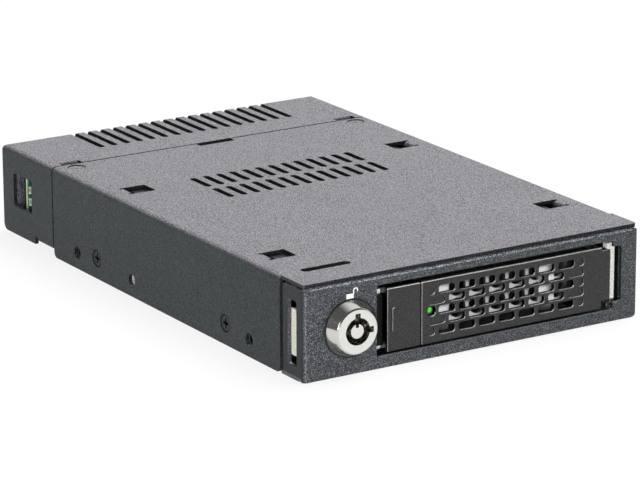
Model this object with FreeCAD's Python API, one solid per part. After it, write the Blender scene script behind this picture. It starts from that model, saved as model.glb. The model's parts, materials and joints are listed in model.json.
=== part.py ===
import FreeCAD, Part
import math
import os

# A key-locked mobile rack for one 2.5-inch solid state drive, made to fill a 3.5-inch drive bay.
# Millimetres. X runs to the right seen from the front and Z up. Y runs to the back and is counted
# from the front panel's face. The pieces are moved to the middle of the whole box when written.

V = FreeCAD.Vector
X = V(1, 0, 0)
Y = V(0, 1, 0)
Z = V(0, 0, 1)

# Bay box and sheet
BODY_WIDTH = 101.6
BODY_HEIGHT = 25.4
BODY_DEPTH = 158.7
SHEET = 1.0
BEND = 0.5
SEAT_GAP = 0.1
RUNNING_GAP = 0.05
THROUGH = 3.0

# Top cover
SEAM_GAP = 0.6
COVER_LIFT = 0.1
COVER_CORNER = 1.6
TONGUE_SETBACK = 0.4
TONGUE_INSET = 0.4
TONGUE_CORNER = 0.9
VENT_COUNT = 13
VENT_PITCH = 4.06
VENT_WIDTH = 1.9
VENT_LENGTH = 9.5
VENT_FRONT_ROW = 82.7
VENT_ROW_STEP = 11.9
WINDOW_FRONT = 26.4
WINDOW_STEP = 71.3
WINDOW_LENGTH = 6.4
WINDOW_WIDTH = 5.8
WINDOW_SIDE_INSET = 6.8
WINDOW_RELIEF = 1.9
WINDOW_RELIEF_WIDTH = 1.0
WINDOW_TAB_DROP = 3.6
MIDDLE_TAB_WIDTH = 10.0
CORNER_TAB_WIDTH = 5.0
CORNER_TAB_INSET = 6.6
TAB_RELIEF = 0.6
TAB_NOTCH = 2.2
TAB_REACH = 7.0
TAB_ROOT = 2.0
JOGGLE_RUN = 1.6

# Holes and screws in the covers
BAY_HOLE_OFFSET = 1.2
BAY_HOLE_STEP = 60.0
BAY_HOLE_LAST_STEP = 30.0
BAY_HOLE_HEIGHT = 4.6
BAY_HOLE_RADIUS = 1.3
BAY_CLEARANCE_RADIUS = 1.75
SIDE_SCREW_OFFSET = 1.65
SIDE_SCREW_STEP = 67.3
SIDE_SCREW_HEIGHT = 5.8
SCREW_HEAD_RADIUS = 2.3
SCREW_SINK = 0.2
SCREW_RADIUS = 1.5
SCREW_LENGTH = 4.0
SCREW_CROSS_WIDTH = 0.7
SCREW_CROSS_LENGTH = 2.8
SCREW_CROSS_DEPTH = 0.7
TOP_SCREW_INSET = 5.8
TOP_SCREW_SETBACK = 3.2

# Rear cover
REAR_LENGTH = 28.9
REAR_LIFT = 1.0
REAR_LOW_CORNER = 2.0
COMB_COUNT = 16
COMB_OFFSET = 1.6
COMB_WIDTH = 1.9
COMB_LENGTH = 18.2
COMB_DROP = 2.7
SIDE_WINDOW_SETBACK = 6.3
SIDE_WINDOW_LENGTH = 10.7
SIDE_WINDOW_BOTTOM = 9.0
SIDE_WINDOW_HEIGHT = 9.5
SIDE_WINDOW_RADIUS = 0.6
REAR_FOOT_LENGTH = 9.0
REAR_FOOT_WIDTH = 7.5
REAR_FOOT_SLIT = 1.4
REAR_FOOT_SLIT_TOP = 3.2
REAR_SCREW_INSET = 5.2
REAR_SCREW_SETBACK = 5.0

# Bottom chassis
CHASSIS_WALL_HEIGHT = 12.0
CHASSIS_REAR_STEP = 0.8
CHASSIS_LIP_HEIGHT = 2.9
CHASSIS_END_GAP = 0.4
BOARD_TAB_INSET = 8.3
BOARD_TAB_WIDTH = 8.0
BOARD_TAB_HEIGHT = 13.0

# Front panel
PANEL_SHEET = 1.0
PANEL_BEND = 0.1
PANEL_LIFT = 0.3
PANEL_TOP_GAP = 0.2
PANEL_LOW_CORNER = 2.0
PANEL_HIGH_CORNER = 1.2
PANEL_TOP_FLANGE = 6.0
PANEL_TOP_FLANGE_INSET = 1.7
FLANGE_DEPTH = 9.5
FLANGE_GAP = 1.5
FLANGE_TOP_GAP = 0.4
FLANGE_BOTTOM_GAP = 0.2
FLANGE_SLOT_START = 3.2
FLANGE_SLOT_WIDTH = 4.0
FLANGE_SLOT_BOTTOM = 3.7
FLANGE_SLOT_TOP_INSET = 3.6
FLANGE_SLOT_RADIUS = 0.6
OPENING_BOTTOM = 3.3
OPENING_TOP_INSET = 2.2
OPENING_RADIUS = 0.8
HOOK_SLOT_REACH = 2.6
HOOK_SLOT_RISE = 1.9
HOOK_SLOT_DROP = 1.6

# Drive and tray
LOCK_BAY_WIDTH = 21.575
RAIL_BAY_WIDTH = 8.075
DRIVE_HOLE_INSET = 4.115
DRIVE_HOLE_SPAN_Y = 76.6
DRIVE_HOLE_SETBACK = 14.0
DRIVE_HOLE_RADIUS = 1.7
DRIVE_HOLE_SINK = 3.0
TRAY_FLOOR_HEIGHT = 4.2
TRAY_TOP_GAP = 2.2
TRAY_END_GAP = 1.5
TRAY_OPENING_GAP = 0.2
TRAY_LEFT_FRONT = 3.5
TRAY_RIGHT_FRONT = 9.8
TRAY_FRONT_LIP = 2.2
TRAY_LIP_TAB = 4.6
TRAY_LIP_TAB_HEIGHT = 1.2
BULKHEAD_DOOR_GAP = 0.8
BULKHEAD_TOP_GAP = 0.6
BULKHEAD_RIGHT_GAP = 11.0
BULKHEAD_FOOT = 1.5
BULKHEAD_EDGE = 1.3
BULKHEAD_WEB = 0.55
BULKHEAD_HOLE_RADIUS = 2.55
BULKHEAD_HOLE_ROWS = 2
BULKHEAD_HOLE_INSET = 5.1
BULKHEAD_LEFT_POST = 7.0
BULKHEAD_LEFT_POST_WIDTH = 3.0
BULKHEAD_RIGHT_POST = 38.6
BULKHEAD_RIGHT_POST_WIDTH = 5.0
HINGE_FLANGE_LENGTH = 14.0
HINGE_FLANGE_WIDTH = 6.0

# Lever door
FRONT_SETBACK = 0.8
DOOR_SKIN = 1.4
DOOR_LEFT_INSET = 13.7
DOOR_RIGHT_INSET = 0.15
DOOR_BOTTOM_GAP = 0.55
DOOR_TOP_GAP = 1.7
DOOR_CORNER = 0.35
DOOR_EDGE = 0.2
DOOR_RIM = 1.0
DOOR_RIM_DEPTH = 1.6
DOOR_RIM_INSET = 6.2
DOOR_NOTCH_WIDTH = 2.7
DOOR_NOTCH_BOTTOM = 2.1
DOOR_NOTCH_TOP = 0.9
GRILLE_LEFT_INSET = 2.025
GRILLE_RIGHT_INSET = 8.325
GRILLE_RISE = 0.15
GRILLE_ROW_PITCH = 2.67
GRILLE_ROW_COUNT = 5
GRILLE_BRICK_COUNT = 8
GRILLE_WEB = 1.11
GRILLE_BRICK_HEIGHT = 2.2
GRILLE_BRICK_RADIUS = 0.75
GRILLE_BLIND_DEPTH = 0.4

# Hinge and eject hook
PIVOT_INSET = 3.525
PIVOT_DEPTH = 4.4
PIN_RADIUS = 0.8
LUG_RADIUS = 1.7
KNUCKLE_RADIUS = 1.9
HOOK_SHEET = 1.1
HOOK_FRONT = 0.6
HOOK_REAR = 6.6
HOOK_FLOOR_GAP = 0.3
HOOK_TOP_GAP = 0.2
HOOK_LIP = 1.3
HOOK_LIP_DEPTH = 1.8
HOOK_LIP_OVERLAP = 0.5
HOOK_LIP_RADIUS = 0.3
HOOK_OPENING_GAP = 0.7
HOOK_PANEL_GAP = 0.15

# Release button
BUTTON_WIDTH = 9.85
BUTTON_DOOR_GAP = 0.35
BUTTON_CAP = 1.0
BUTTON_CORNER = 0.35
BUTTON_EDGE = 0.2
BUTTON_TRAVEL = 1.5
BUTTON_SKIRT_INSET_X = 1.2
BUTTON_SKIRT_INSET_Z = 2.4
BUTTON_SKIRT_LENGTH = 4.2
BUTTON_SKIRT_WALL = 1.1
BUTTON_STEM_RADIUS = 1.4
BUTTON_RIB_WIDTH = 0.9
BUTTON_RIB_HEIGHT = 6.2
BUTTON_RIB_INSET = 1.4
BUTTON_RIB_STAND = 0.45
HOUSING_TOP_GAP = 0.7
HOUSING_BACK = 1.4
HOUSING_STOP_GAP = 1.0
HOUSING_WALL = 0.3
HOUSING_RIGHT_WALL = 1.7
HOUSING_CHEEK = 0.8
HOUSING_SCREW_RADIUS = 0.9
HOUSING_SCREW_HEAD = 1.7
HOUSING_SCREW_LENGTH = 5.0
SPRING_RADIUS = 2.1
SPRING_WIRE = 0.25
SPRING_TURNS = 4

# Light pipe and status light
PIPE_RADIUS = 0.9
PIPE_FRONT = 1.6
PIPE_TURN = 37.0
PIPE_DIP_START = 32.0
PIPE_DIP_END = 21.0
PIPE_INSET = 2.6
PIPE_BEND = 4.0
LIGHT_HOLE_WIDTH = 2.5
LIGHT_HOLE_HEIGHT = 2.7
LIGHT_HOLE_RADIUS = 1.0
LIGHT_WIDTH = 3.0
LIGHT_HEIGHT = 1.6
LIGHT_DEPTH = 0.9

# Guide rails
RAIL_FRONT = 24.0
RAIL_END_GAP = 1.0
RAIL_WALL = 1.2
RAIL_FLOOR = 2.0
RAIL_TOP_GAP = 0.5
RAIL_LEDGE = 3.2
RAIL_TAB_GAP = 0.1
RAIL_TRAY_GAP = 0.22
RAIL_FOOT_GAP = 0.2
RAIL_SCREW_SETBACK = 14.0
RAIL_SCREW_HEAD = 2.2
RAIL_SCREW_RADIUS = 1.2
RAIL_SCREW_LENGTH = 2.8

# Lock
LOCK_SIDE_INSET = 13.6
LOCK_HEIGHT = 12.4
LOCK_PROJECTION = 3.6
LOCK_GASKET = 0.4
LOCK_GASKET_RADIUS = 7.6
LOCK_COLLAR_RADIUS = 7.35
LOCK_FACE_RADIUS = 5.95
LOCK_FACE_EDGE = 0.35
LOCK_BODY_RADIUS = 5.5
LOCK_FLAT = 4.8
LOCK_GROOVE = 0.5
LOCK_END = 10.4
LOCK_KEYWAY_RADIUS = 3.5
LOCK_KEYWAY_END = 1.9
LOCK_POST_RADIUS = 1.85
LOCK_POST_SETBACK = 0.3
LOCK_POST_NOTCH = 0.9
LOCK_CORE_RADIUS = 4.0
LOCK_NOTCH_WIDTH = 1.5
LOCK_NOTCH_RADIUS = 4.6
LOCK_NOTCH_DEPTH = 2.4
CAM_SHEET = 1.5
CAM_TOP_GAP = 1.6
CAM_TIP_RADIUS = 3.5
CAM_HUB_RADIUS = 5.2
CAM_SQUARE = 5.6
CAM_SLOT_LENGTH = 14.3
CAM_SLOT_WIDTH = 2.6
CAM_SCREW_HEAD = 2.9
CAM_SCREW_HEAD_HEIGHT = 1.6
CAM_SCREW_RADIUS = 1.5
CAM_SCREW_LENGTH = 5.0
CLIP_SHEET = 1.0
CLIP_FORK_HEIGHT = 14.6
CLIP_RIGHT = 6.2
CLIP_LUG_GAP = 0.2
CLIP_LUG_DEPTH = 7.7
CLIP_LUG_HEIGHT = 12.0
CLIP_LUG_DROP = 0.6
CLIP_LUG_RADIUS = 1.6

# Backplane
BOARD_THICKNESS = 1.6
BOARD_SETBACK = 7.6
BOARD_SIDE_GAP = 1.8
BOARD_BOTTOM_GAP = 0.6
BOARD_TOP_GAP = 0.6
BOARD_SCREW_HEIGHT = 9.0
BOARD_SCREW_RADIUS = 1.2
BOARD_SCREW_HEAD = 2.3
BOARD_SCREW_HEAD_HEIGHT = 1.4
DRIVE_SOCKET_DEPTH = 10.0
DRIVE_SOCKET_WIDTH = 44.6
DRIVE_SOCKET_HEIGHT = 5.8
DRIVE_SOCKET_RISE = 3.5
DRIVE_SOCKET_SLOT_WIDTH = 41.2
DRIVE_SOCKET_SLOT_HEIGHT = 2.0
DRIVE_SOCKET_SLOT_DEPTH = 6.5
DRIVE_SOCKET_KEY = 4.0
SOCKET_PROJECTION = 1.5
SOCKET_HEIGHT = 12.2
SOCKET_CUT_GAP = 0.3
DATA_SOCKET_INSET = 28.8
DATA_SOCKET_WIDTH = 23.6
DATA_SOCKET_TALL = 9.4
DATA_SOCKET_SHELL = 0.6
DATA_CORE_DEPTH = 2.6
POWER_SOCKET_INSET = 30.8
POWER_SOCKET_WIDTH = 24.4
POWER_SOCKET_TALL = 7.4
POWER_SOCKET_WALL = 1.3
POWER_SOCKET_MOUTH = 6.8
POWER_BLADE_THICKNESS = 1.2
POWER_BLADE_SIDE_GAP = 1.1
SOCKET_CORNER = 0.8

# Places worked out from the sizes above: the box
HALF_WIDTH = BODY_WIDTH / 2
FACE_DEPTH = LOCK_PROJECTION - (LOCK_PROJECTION + BODY_DEPTH + SOCKET_PROJECTION) / 2
COVER_UNDERSIDE = BODY_HEIGHT - SHEET
REAR_START = BODY_DEPTH - REAR_LENGTH
SEAM_DEPTH = REAR_START - SEAM_GAP
SIDE_START = FLANGE_DEPTH + FLANGE_GAP
SIDE_MIDDLE = (SIDE_START + SEAM_DEPTH - SHEET) / 2
FLAT_HALF = HALF_WIDTH - SHEET - BEND
TONGUE_HALF = HALF_WIDTH - TONGUE_INSET
CHASSIS_HALF = HALF_WIDTH - SHEET - SEAT_GAP
CHASSIS_FLAT_HALF = CHASSIS_HALF - SHEET - BEND
CHASSIS_WALL_END = SEAM_DEPTH - SHEET
CHASSIS_STEP = CHASSIS_WALL_END - TAB_ROOT
WINDOW_OUTER_X = HALF_WIDTH - WINDOW_SIDE_INSET
WINDOWS = (WINDOW_FRONT, WINDOW_FRONT + WINDOW_STEP)
CORNER_TAB_X = HALF_WIDTH - CORNER_TAB_INSET
TOP_SCREW_POINT = V(HALF_WIDTH - TOP_SCREW_INSET, SEAM_DEPTH - TOP_SCREW_SETBACK, BODY_HEIGHT)
REAR_SCREW_POINT = V(HALF_WIDTH - REAR_SCREW_INSET, REAR_START + REAR_SCREW_SETBACK, CHASSIS_REAR_STEP)
BAY_HOLE_FIRST = SIDE_MIDDLE + BAY_HOLE_OFFSET - (BAY_HOLE_STEP + BAY_HOLE_LAST_STEP) / 2
BAY_HOLES = (BAY_HOLE_FIRST, BAY_HOLE_FIRST + BAY_HOLE_STEP,
             BAY_HOLE_FIRST + BAY_HOLE_STEP + BAY_HOLE_LAST_STEP)
SIDE_SCREW_MIDDLE = SIDE_MIDDLE + SIDE_SCREW_OFFSET
SIDE_SCREW_POINTS = [V(HALF_WIDTH, SIDE_SCREW_MIDDLE + share * SIDE_SCREW_STEP, SIDE_SCREW_HEIGHT)
                     for share in (-0.5, 0.5)]
PANEL_TOP = COVER_UNDERSIDE - PANEL_TOP_GAP
OPENING_TOP = PANEL_TOP - OPENING_TOP_INSET

# Board
BOARD_BACK = BODY_DEPTH - BOARD_SETBACK
BOARD_FRONT = BOARD_BACK - BOARD_THICKNESS
BOARD_TAB_X = HALF_WIDTH - BOARD_TAB_INSET
DRIVE_END = BOARD_FRONT - DRIVE_SOCKET_DEPTH
SOCKET_END = BODY_DEPTH + SOCKET_PROJECTION
DATA_SOCKET_X = -HALF_WIDTH + DATA_SOCKET_INSET
POWER_SOCKET_X = HALF_WIDTH - POWER_SOCKET_INSET

# Tray
TRAY_LEFT = -HALF_WIDTH + LOCK_BAY_WIDTH
TRAY_RIGHT = HALF_WIDTH - RAIL_BAY_WIDTH
TRAY_CENTRE_X = (TRAY_LEFT + TRAY_RIGHT) / 2
TRAY_INNER_HALF = (TRAY_RIGHT - TRAY_LEFT) / 2 - SHEET
TRAY_FLOOR_TOP = TRAY_FLOOR_HEIGHT + SHEET
TRAY_WALL_TOP = OPENING_TOP - TRAY_TOP_GAP
HINGE_FLANGE_BOTTOM = TRAY_WALL_TOP - SHEET
TRAY_END = DRIVE_END - TRAY_END_GAP
OPENING_LEFT = TRAY_LEFT - TRAY_OPENING_GAP
OPENING_RIGHT = TRAY_RIGHT + TRAY_OPENING_GAP
DECK_END = TRAY_RIGHT_FRONT + TAB_ROOT

# Lever door and hinge
DOOR_LEFT = TRAY_LEFT + DOOR_LEFT_INSET
DOOR_RIGHT = TRAY_RIGHT - DOOR_RIGHT_INSET
DOOR_BOTTOM = OPENING_BOTTOM + DOOR_BOTTOM_GAP
DOOR_TOP = OPENING_TOP - DOOR_TOP_GAP
DOOR_MIDDLE = (DOOR_BOTTOM + DOOR_TOP) / 2
DOOR_BACK = FRONT_SETBACK + DOOR_SKIN
DOOR_RIM_BACK = DOOR_BACK + DOOR_RIM_DEPTH
PIVOT_X = TRAY_RIGHT - PIVOT_INSET
PIVOT = V(PIVOT_X, PIVOT_DEPTH, 0)
HOOK_BOTTOM = TRAY_FLOOR_TOP + HOOK_FLOOR_GAP
HOOK_TOP = HINGE_FLANGE_BOTTOM - HOOK_TOP_GAP
GRILLE_LEFT = DOOR_LEFT + GRILLE_LEFT_INSET
GRILLE_RIGHT = DOOR_RIGHT - GRILLE_RIGHT_INSET
GRILLE_MIDDLE = DOOR_MIDDLE + GRILLE_RISE
GRILLE_PITCH = (GRILLE_RIGHT - GRILLE_LEFT + GRILLE_WEB) / GRILLE_BRICK_COUNT
LIGHT_X = GRILLE_LEFT + (GRILLE_PITCH / 2 - GRILLE_WEB) / 2

# Button and its housing
BUTTON_RIGHT = DOOR_LEFT - BUTTON_DOOR_GAP
BUTTON_LEFT = BUTTON_RIGHT - BUTTON_WIDTH
BUTTON_MIDDLE_X = (BUTTON_LEFT + BUTTON_RIGHT) / 2
BUTTON_BACK = FRONT_SETBACK + BUTTON_CAP
HOUSING_FRONT = TRAY_LEFT_FRONT + SHEET + BEND
HOUSING_FLOOR_FRONT = BUTTON_BACK + BUTTON_SKIRT_LENGTH + BUTTON_TRAVEL + HOUSING_STOP_GAP
HOUSING_END = HOUSING_FLOOR_FRONT + HOUSING_BACK
HOUSING_LEFT = TRAY_LEFT + SHEET + RUNNING_GAP
HOUSING_RIGHT = BUTTON_RIGHT + HOUSING_RIGHT_WALL
HOUSING_SCREW_DEPTH = (HOUSING_FRONT + HOUSING_END) / 2
BULKHEAD_DEPTH = DOOR_RIM_BACK + BULKHEAD_DOOR_GAP
BULKHEAD_LEFT = HOUSING_RIGHT + SEAT_GAP
BULKHEAD_RIGHT = TRAY_RIGHT - BULKHEAD_RIGHT_GAP
BULKHEAD_TOP = TRAY_WALL_TOP - BULKHEAD_TOP_GAP
BULKHEAD_BOTTOM = TRAY_FLOOR_TOP + BULKHEAD_FOOT
PIPE_SIDE_X = TRAY_LEFT + PIPE_RADIUS
PIPE_SIDE_HEIGHT = TRAY_WALL_TOP + PIPE_RADIUS

# Lock
LOCK_X = -HALF_WIDTH + LOCK_SIDE_INSET
LOCK_AXIS = V(LOCK_X, 0, LOCK_HEIGHT)
CAM_FRONT = LOCK_END + SEAT_GAP
CAM_BACK = CAM_FRONT + CAM_SHEET
CAM_MIDDLE = (CAM_FRONT + CAM_BACK) / 2
CAM_REACH = BODY_HEIGHT - CAM_TOP_GAP - LOCK_HEIGHT

# Guide rails
RAIL_LEFT_OUTER = -WINDOW_OUTER_X + RAIL_TAB_GAP
RAIL_LEFT_INNER = TRAY_LEFT - RAIL_TRAY_GAP
RAIL_RIGHT_INNER = TRAY_RIGHT + RAIL_TRAY_GAP
RAIL_RIGHT_OUTER = RAIL_RIGHT_INNER + RAIL_WALL
RAIL_FOOT_RIGHT = CHASSIS_FLAT_HALF - RAIL_FOOT_GAP
RAIL_LEDGE_TOP = TRAY_FLOOR_HEIGHT - SEAT_GAP
RAIL_TOP = BODY_HEIGHT - WINDOW_TAB_DROP - RAIL_TOP_GAP
RAIL_END = CHASSIS_STEP - RAIL_END_GAP
RAIL_SCREWS = [V((left + right) / 2, depth, 0)
               for left, right in ((RAIL_LEFT_OUTER, RAIL_LEFT_INNER), (RAIL_RIGHT_OUTER, RAIL_FOOT_RIGHT))
               for depth in (RAIL_FRONT + RAIL_SCREW_SETBACK, RAIL_END - RAIL_SCREW_SETBACK)]


# Simple solids
def block(x0, x1, y0, y1, z0, z1):
    return Part.makeBox(x1 - x0, y1 - y0, z1 - z0, V(x0, y0, z0))


def rod(radius, start, direction, length):
    return Part.makeCylinder(radius, length, start, direction)


def rounded_block(x0, x1, y0, y1, z0, z1, axis, radius):
    """A block whose four edges along the axis are rounded."""
    solid = block(x0, x1, y0, y1, z0, z1)
    edges = [edge for edge in solid.Edges if abs(edge.tangentAt(edge.FirstParameter).dot(axis)) > 0.99]
    return solid.makeFillet(radius, edges)


def slot_prism(first, last, width, travel):
    """A bar with round ends centred on two points, drawn out along the travel."""
    ahead = (last - first).normalize() * (width / 2)
    side = ahead.cross(travel).normalize() * (width / 2)
    edges = [
        Part.LineSegment(first + side, last + side).toShape(),
        Part.Arc(last + side, last + ahead, last - side).toShape(),
        Part.LineSegment(last - side, first - side).toShape(),
        Part.Arc(first - side, first - ahead, first + side).toShape(),
    ]
    return Part.Face(Part.Wire(edges)).extrude(travel)


def prism(points, place, travel):
    corners = [place(V(u, v, 0)) for u, v in points]
    return Part.Face(Part.makePolygon(corners + corners[:1])).extrude(travel)


def turned(points, axis_point):
    """A body of revolution about a line along Y, from pairs of radius and depth."""
    corners = [V(axis_point.x + radius, depth, axis_point.z) for radius, depth in points]
    face = Part.Face(Part.makePolygon(corners + corners[:1]))
    return face.revolve(V(axis_point.x, 0, axis_point.z), Y, 360)


def mirrored(shape):
    return shape.mirror(V(0, 0, 0), X)


def both_sides(shape):
    return [shape, mirrored(shape)]


def joined(first, *others):
    return first.fuse(list(others)).removeSplitter()


# Folded sheet
def in_xz(depth):
    return lambda point: V(point.x, depth, point.y)


def in_yz(x):
    return lambda point: V(x, point.x, point.y)


def in_xy(height):
    return lambda point: V(point.x, point.y, height)


def bent_edges(corners, radii, place):
    """Straight runs joined by tangent arcs at the inner corners."""
    edges = []
    here = corners[0]
    for before, corner, after, radius in zip(corners, corners[1:], corners[2:], radii):
        back = (before - corner).normalize()
        onward = (after - corner).normalize()
        half_angle = back.getAngle(onward) / 2
        start = corner + back * (radius / math.tan(half_angle))
        end = corner + onward * (radius / math.tan(half_angle))
        crown = corner + (back + onward).normalize() * (radius / math.sin(half_angle) - radius)
        edges.append(Part.LineSegment(place(here), place(start)).toShape())
        edges.append(Part.Arc(place(start), place(crown), place(end)).toShape())
        here = end
    edges.append(Part.LineSegment(place(here), place(corners[-1])).toShape())
    return edges


def offset_left(corners, distance):
    """The same run of corners, moved to its left by a distance."""
    shifts = []
    for start, end in zip(corners, corners[1:]):
        ahead = (end - start).normalize()
        shifts.append(V(-ahead.y, ahead.x, 0) * distance)
    moved = [corners[0] + shifts[0]]
    for corner, before, after in zip(corners[1:], shifts, shifts[1:]):
        both = before + after
        moved.append(corner + both * (2 * distance ** 2 / both.Length ** 2))
    moved.append(corners[-1] + shifts[-1])
    return moved


def folded(points, thickness, place, travel, bend=BEND):
    """Sheet folded along its outer face, with the metal to the left of the run of points."""
    outer = [V(u, v, 0) for u, v in points]
    inner = offset_left(outer, thickness)
    outer_radii = []
    inner_radii = []
    for start, corner, end in zip(outer, outer[1:], outer[2:]):
        turns_left = (corner - start).cross(end - corner).z > 0
        outer_radii.append(bend + thickness if turns_left else bend)
        inner_radii.append(bend if turns_left else bend + thickness)
    edges = bent_edges(outer, outer_radii, place)
    edges.append(Part.LineSegment(place(outer[-1]), place(inner[-1])).toShape())
    edges += bent_edges(inner[::-1], inner_radii[::-1], place)
    edges.append(Part.LineSegment(place(inner[0]), place(outer[0])).toShape())
    return Part.Face(Part.Wire(edges)).extrude(travel)


def corner_cut(corner, first, second, radius, travel):
    """What rounds one outer edge that runs along the travel, between two outward directions."""
    centre = corner - (first + second) * radius
    corners = [centre, centre + first * radius, corner, centre + second * radius]
    bar = Part.Face(Part.makePolygon(corners + corners[:1])).extrude(travel)
    return bar.cut(rod(radius, centre, V(travel).normalize(), travel.Length))


def joggled_tab(x0, x1, root, tip, level):
    """A tab that leaves a plate's top level at its root and runs one sheet lower to its tip."""
    low = level - SHEET
    if tip > root:
        points = [(tip, low), (root + JOGGLE_RUN, low), (root, level), (root - TAB_ROOT, level)]
    else:
        points = [(root + TAB_ROOT, level), (root, level), (root - JOGGLE_RUN, low), (tip, low)]
    return folded(points, SHEET, in_yz(x0), X * (x1 - x0))


# Screws
def countersunk_head(point, inward, head_radius, radius):
    return Part.makeCone(head_radius, radius, head_radius - radius, point, inward)


def cross_recess(point, inward):
    """The driver's cross, cut into a head that faces away from the inward direction."""
    across = V(inward.y, inward.z, inward.x)
    bars = []
    for run in (across, inward.cross(across)):
        ahead = run * (SCREW_CROSS_LENGTH / 2)
        side = inward.cross(run) * (SCREW_CROSS_WIDTH / 2)
        corners = [point + ahead + side, point + ahead - side, point - ahead - side, point - ahead + side]
        bars.append(Part.Face(Part.makePolygon(corners + corners[:1])).extrude(inward * SCREW_CROSS_DEPTH))
    return bars


def countersunk_screw(point, inward, head_radius, radius, length):
    head = countersunk_head(point, inward, head_radius, radius)
    shank = rod(radius, point, inward, length)
    return joined(head, shank).cut(cross_recess(point, inward))


def countersunk_hole(point, inward, head_radius, radius):
    start = point - inward * RUNNING_GAP
    sink = countersunk_head(start, inward, head_radius + RUNNING_GAP, radius + RUNNING_GAP)
    return sink.fuse(rod(radius + RUNNING_GAP, start, inward, SHEET * 2))


def cover_screw(point, inward, length):
    """A screw whose head lies a little under the cover's face."""
    return countersunk_screw(point + inward * SCREW_SINK, inward, SCREW_HEAD_RADIUS, SCREW_RADIUS, length)


def cover_screw_hole(point, inward):
    return countersunk_hole(point, inward, SCREW_HEAD_RADIUS + SCREW_SINK, SCREW_RADIUS)


# Top cover
def vent_slots():
    slots = []
    for middle in (VENT_FRONT_ROW, VENT_FRONT_ROW + VENT_ROW_STEP):
        reach = Y * ((VENT_LENGTH - VENT_WIDTH) / 2)
        for index in range(VENT_COUNT):
            centre = V((index - (VENT_COUNT - 1) / 2) * VENT_PITCH, middle, COVER_UNDERSIDE - SHEET)
            slots.append(slot_prism(centre - reach, centre + reach, VENT_WIDTH, Z * THROUGH * SHEET))
    return slots


def lanced_window(middle):
    """Opening of a lanced window on the right side, up to the fold line of its tab."""
    start = middle - WINDOW_LENGTH / 2
    end = middle + WINDOW_LENGTH / 2
    low = COVER_UNDERSIDE - SHEET
    high = BODY_HEIGHT + SHEET
    return block(WINDOW_OUTER_X - WINDOW_WIDTH, WINDOW_OUTER_X + WINDOW_RELIEF, start, end, low, high)


def lanced_tab(middle):
    half = WINDOW_LENGTH / 2 - WINDOW_RELIEF_WIDTH
    points = [(WINDOW_OUTER_X + WINDOW_RELIEF, BODY_HEIGHT), (WINDOW_OUTER_X, BODY_HEIGHT),
              (WINDOW_OUTER_X, BODY_HEIGHT - WINDOW_TAB_DROP)]
    return folded(points, SHEET, in_xz(middle - half), Y * (2 * half))


def tongue(front, bottom):
    """Flat strip one sheet thick, over or under the panel's flanges, with rounded front corners."""
    strip = block(-TONGUE_HALF, TONGUE_HALF, front, SIDE_START, bottom, bottom + SHEET)
    corners = [edge for edge in strip.Edges
               if edge.BoundBox.YMax < front + RUNNING_GAP and edge.BoundBox.XLength < RUNNING_GAP
               and edge.BoundBox.YLength < RUNNING_GAP]
    return strip.makeFillet(TONGUE_CORNER, corners)


def top_cover():
    points = [(HALF_WIDTH, COVER_LIFT), (HALF_WIDTH, BODY_HEIGHT),
              (-HALF_WIDTH, BODY_HEIGHT), (-HALF_WIDTH, COVER_LIFT)]
    channel = folded(points, SHEET, in_xz(SIDE_START), Y * (SEAM_DEPTH - SIDE_START))
    corners = [edge for edge in channel.Edges
               if edge.BoundBox.ZMax < COVER_LIFT + RUNNING_GAP and edge.BoundBox.YLength < RUNNING_GAP]
    channel = channel.makeFillet(COVER_CORNER, corners)
    cover = joined(channel, tongue(TONGUE_SETBACK, COVER_UNDERSIDE))

    cuts = vent_slots()
    tabs = []
    for middle in WINDOWS:
        cuts += both_sides(lanced_window(middle))
        tabs += both_sides(lanced_tab(middle))
    notch_half = MIDDLE_TAB_WIDTH / 2 + TAB_RELIEF
    cuts.append(block(-notch_half, notch_half, SEAM_DEPTH - TAB_NOTCH, SEAM_DEPTH + SHEET,
                      COVER_UNDERSIDE - SHEET, BODY_HEIGHT + SHEET))
    tabs.append(joggled_tab(-MIDDLE_TAB_WIDTH / 2, MIDDLE_TAB_WIDTH / 2, SEAM_DEPTH - TAB_NOTCH,
                            SEAM_DEPTH + TAB_REACH, BODY_HEIGHT))

    reach = X * ((CAM_SLOT_LENGTH - CAM_SLOT_WIDTH) / 2)
    cam_slot = V(LOCK_X, CAM_MIDDLE, COVER_UNDERSIDE - SHEET)
    cuts.append(slot_prism(cam_slot - reach, cam_slot + reach, CAM_SLOT_WIDTH, Z * THROUGH * SHEET))
    for depth in BAY_HOLES:
        start = V(CHASSIS_HALF, depth, BAY_HOLE_HEIGHT)
        cuts += both_sides(rod(BAY_CLEARANCE_RADIUS, start, X, 2 * SHEET))
    for point in SIDE_SCREW_POINTS:
        cuts += both_sides(cover_screw_hole(point, -X))
    cuts += both_sides(cover_screw_hole(TOP_SCREW_POINT, -Z))
    return joined(cover.cut(cuts), *tabs)


# Rear cover
def comb_slots():
    slots = []
    first = COMB_OFFSET - (COMB_COUNT - 1) / 2 * VENT_PITCH
    for index in range(COMB_COUNT):
        x = first + index * VENT_PITCH
        start = V(x, BODY_DEPTH - COMB_LENGTH + COMB_WIDTH / 2, BODY_HEIGHT - COMB_DROP)
        end = V(x, BODY_DEPTH + COMB_WIDTH, BODY_HEIGHT - COMB_DROP)
        slots.append(slot_prism(start, end, COMB_WIDTH, Z * (COMB_DROP + SHEET)))
    return slots


def socket_cut(x, width, tall):
    half_width = width / 2 + SOCKET_CUT_GAP
    half_tall = tall / 2 + SOCKET_CUT_GAP
    return rounded_block(x - half_width, x + half_width, BODY_DEPTH - 2 * SHEET, BODY_DEPTH + SHEET,
                         SOCKET_HEIGHT - half_tall, SOCKET_HEIGHT + half_tall, Y, SOCKET_CORNER)


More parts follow.
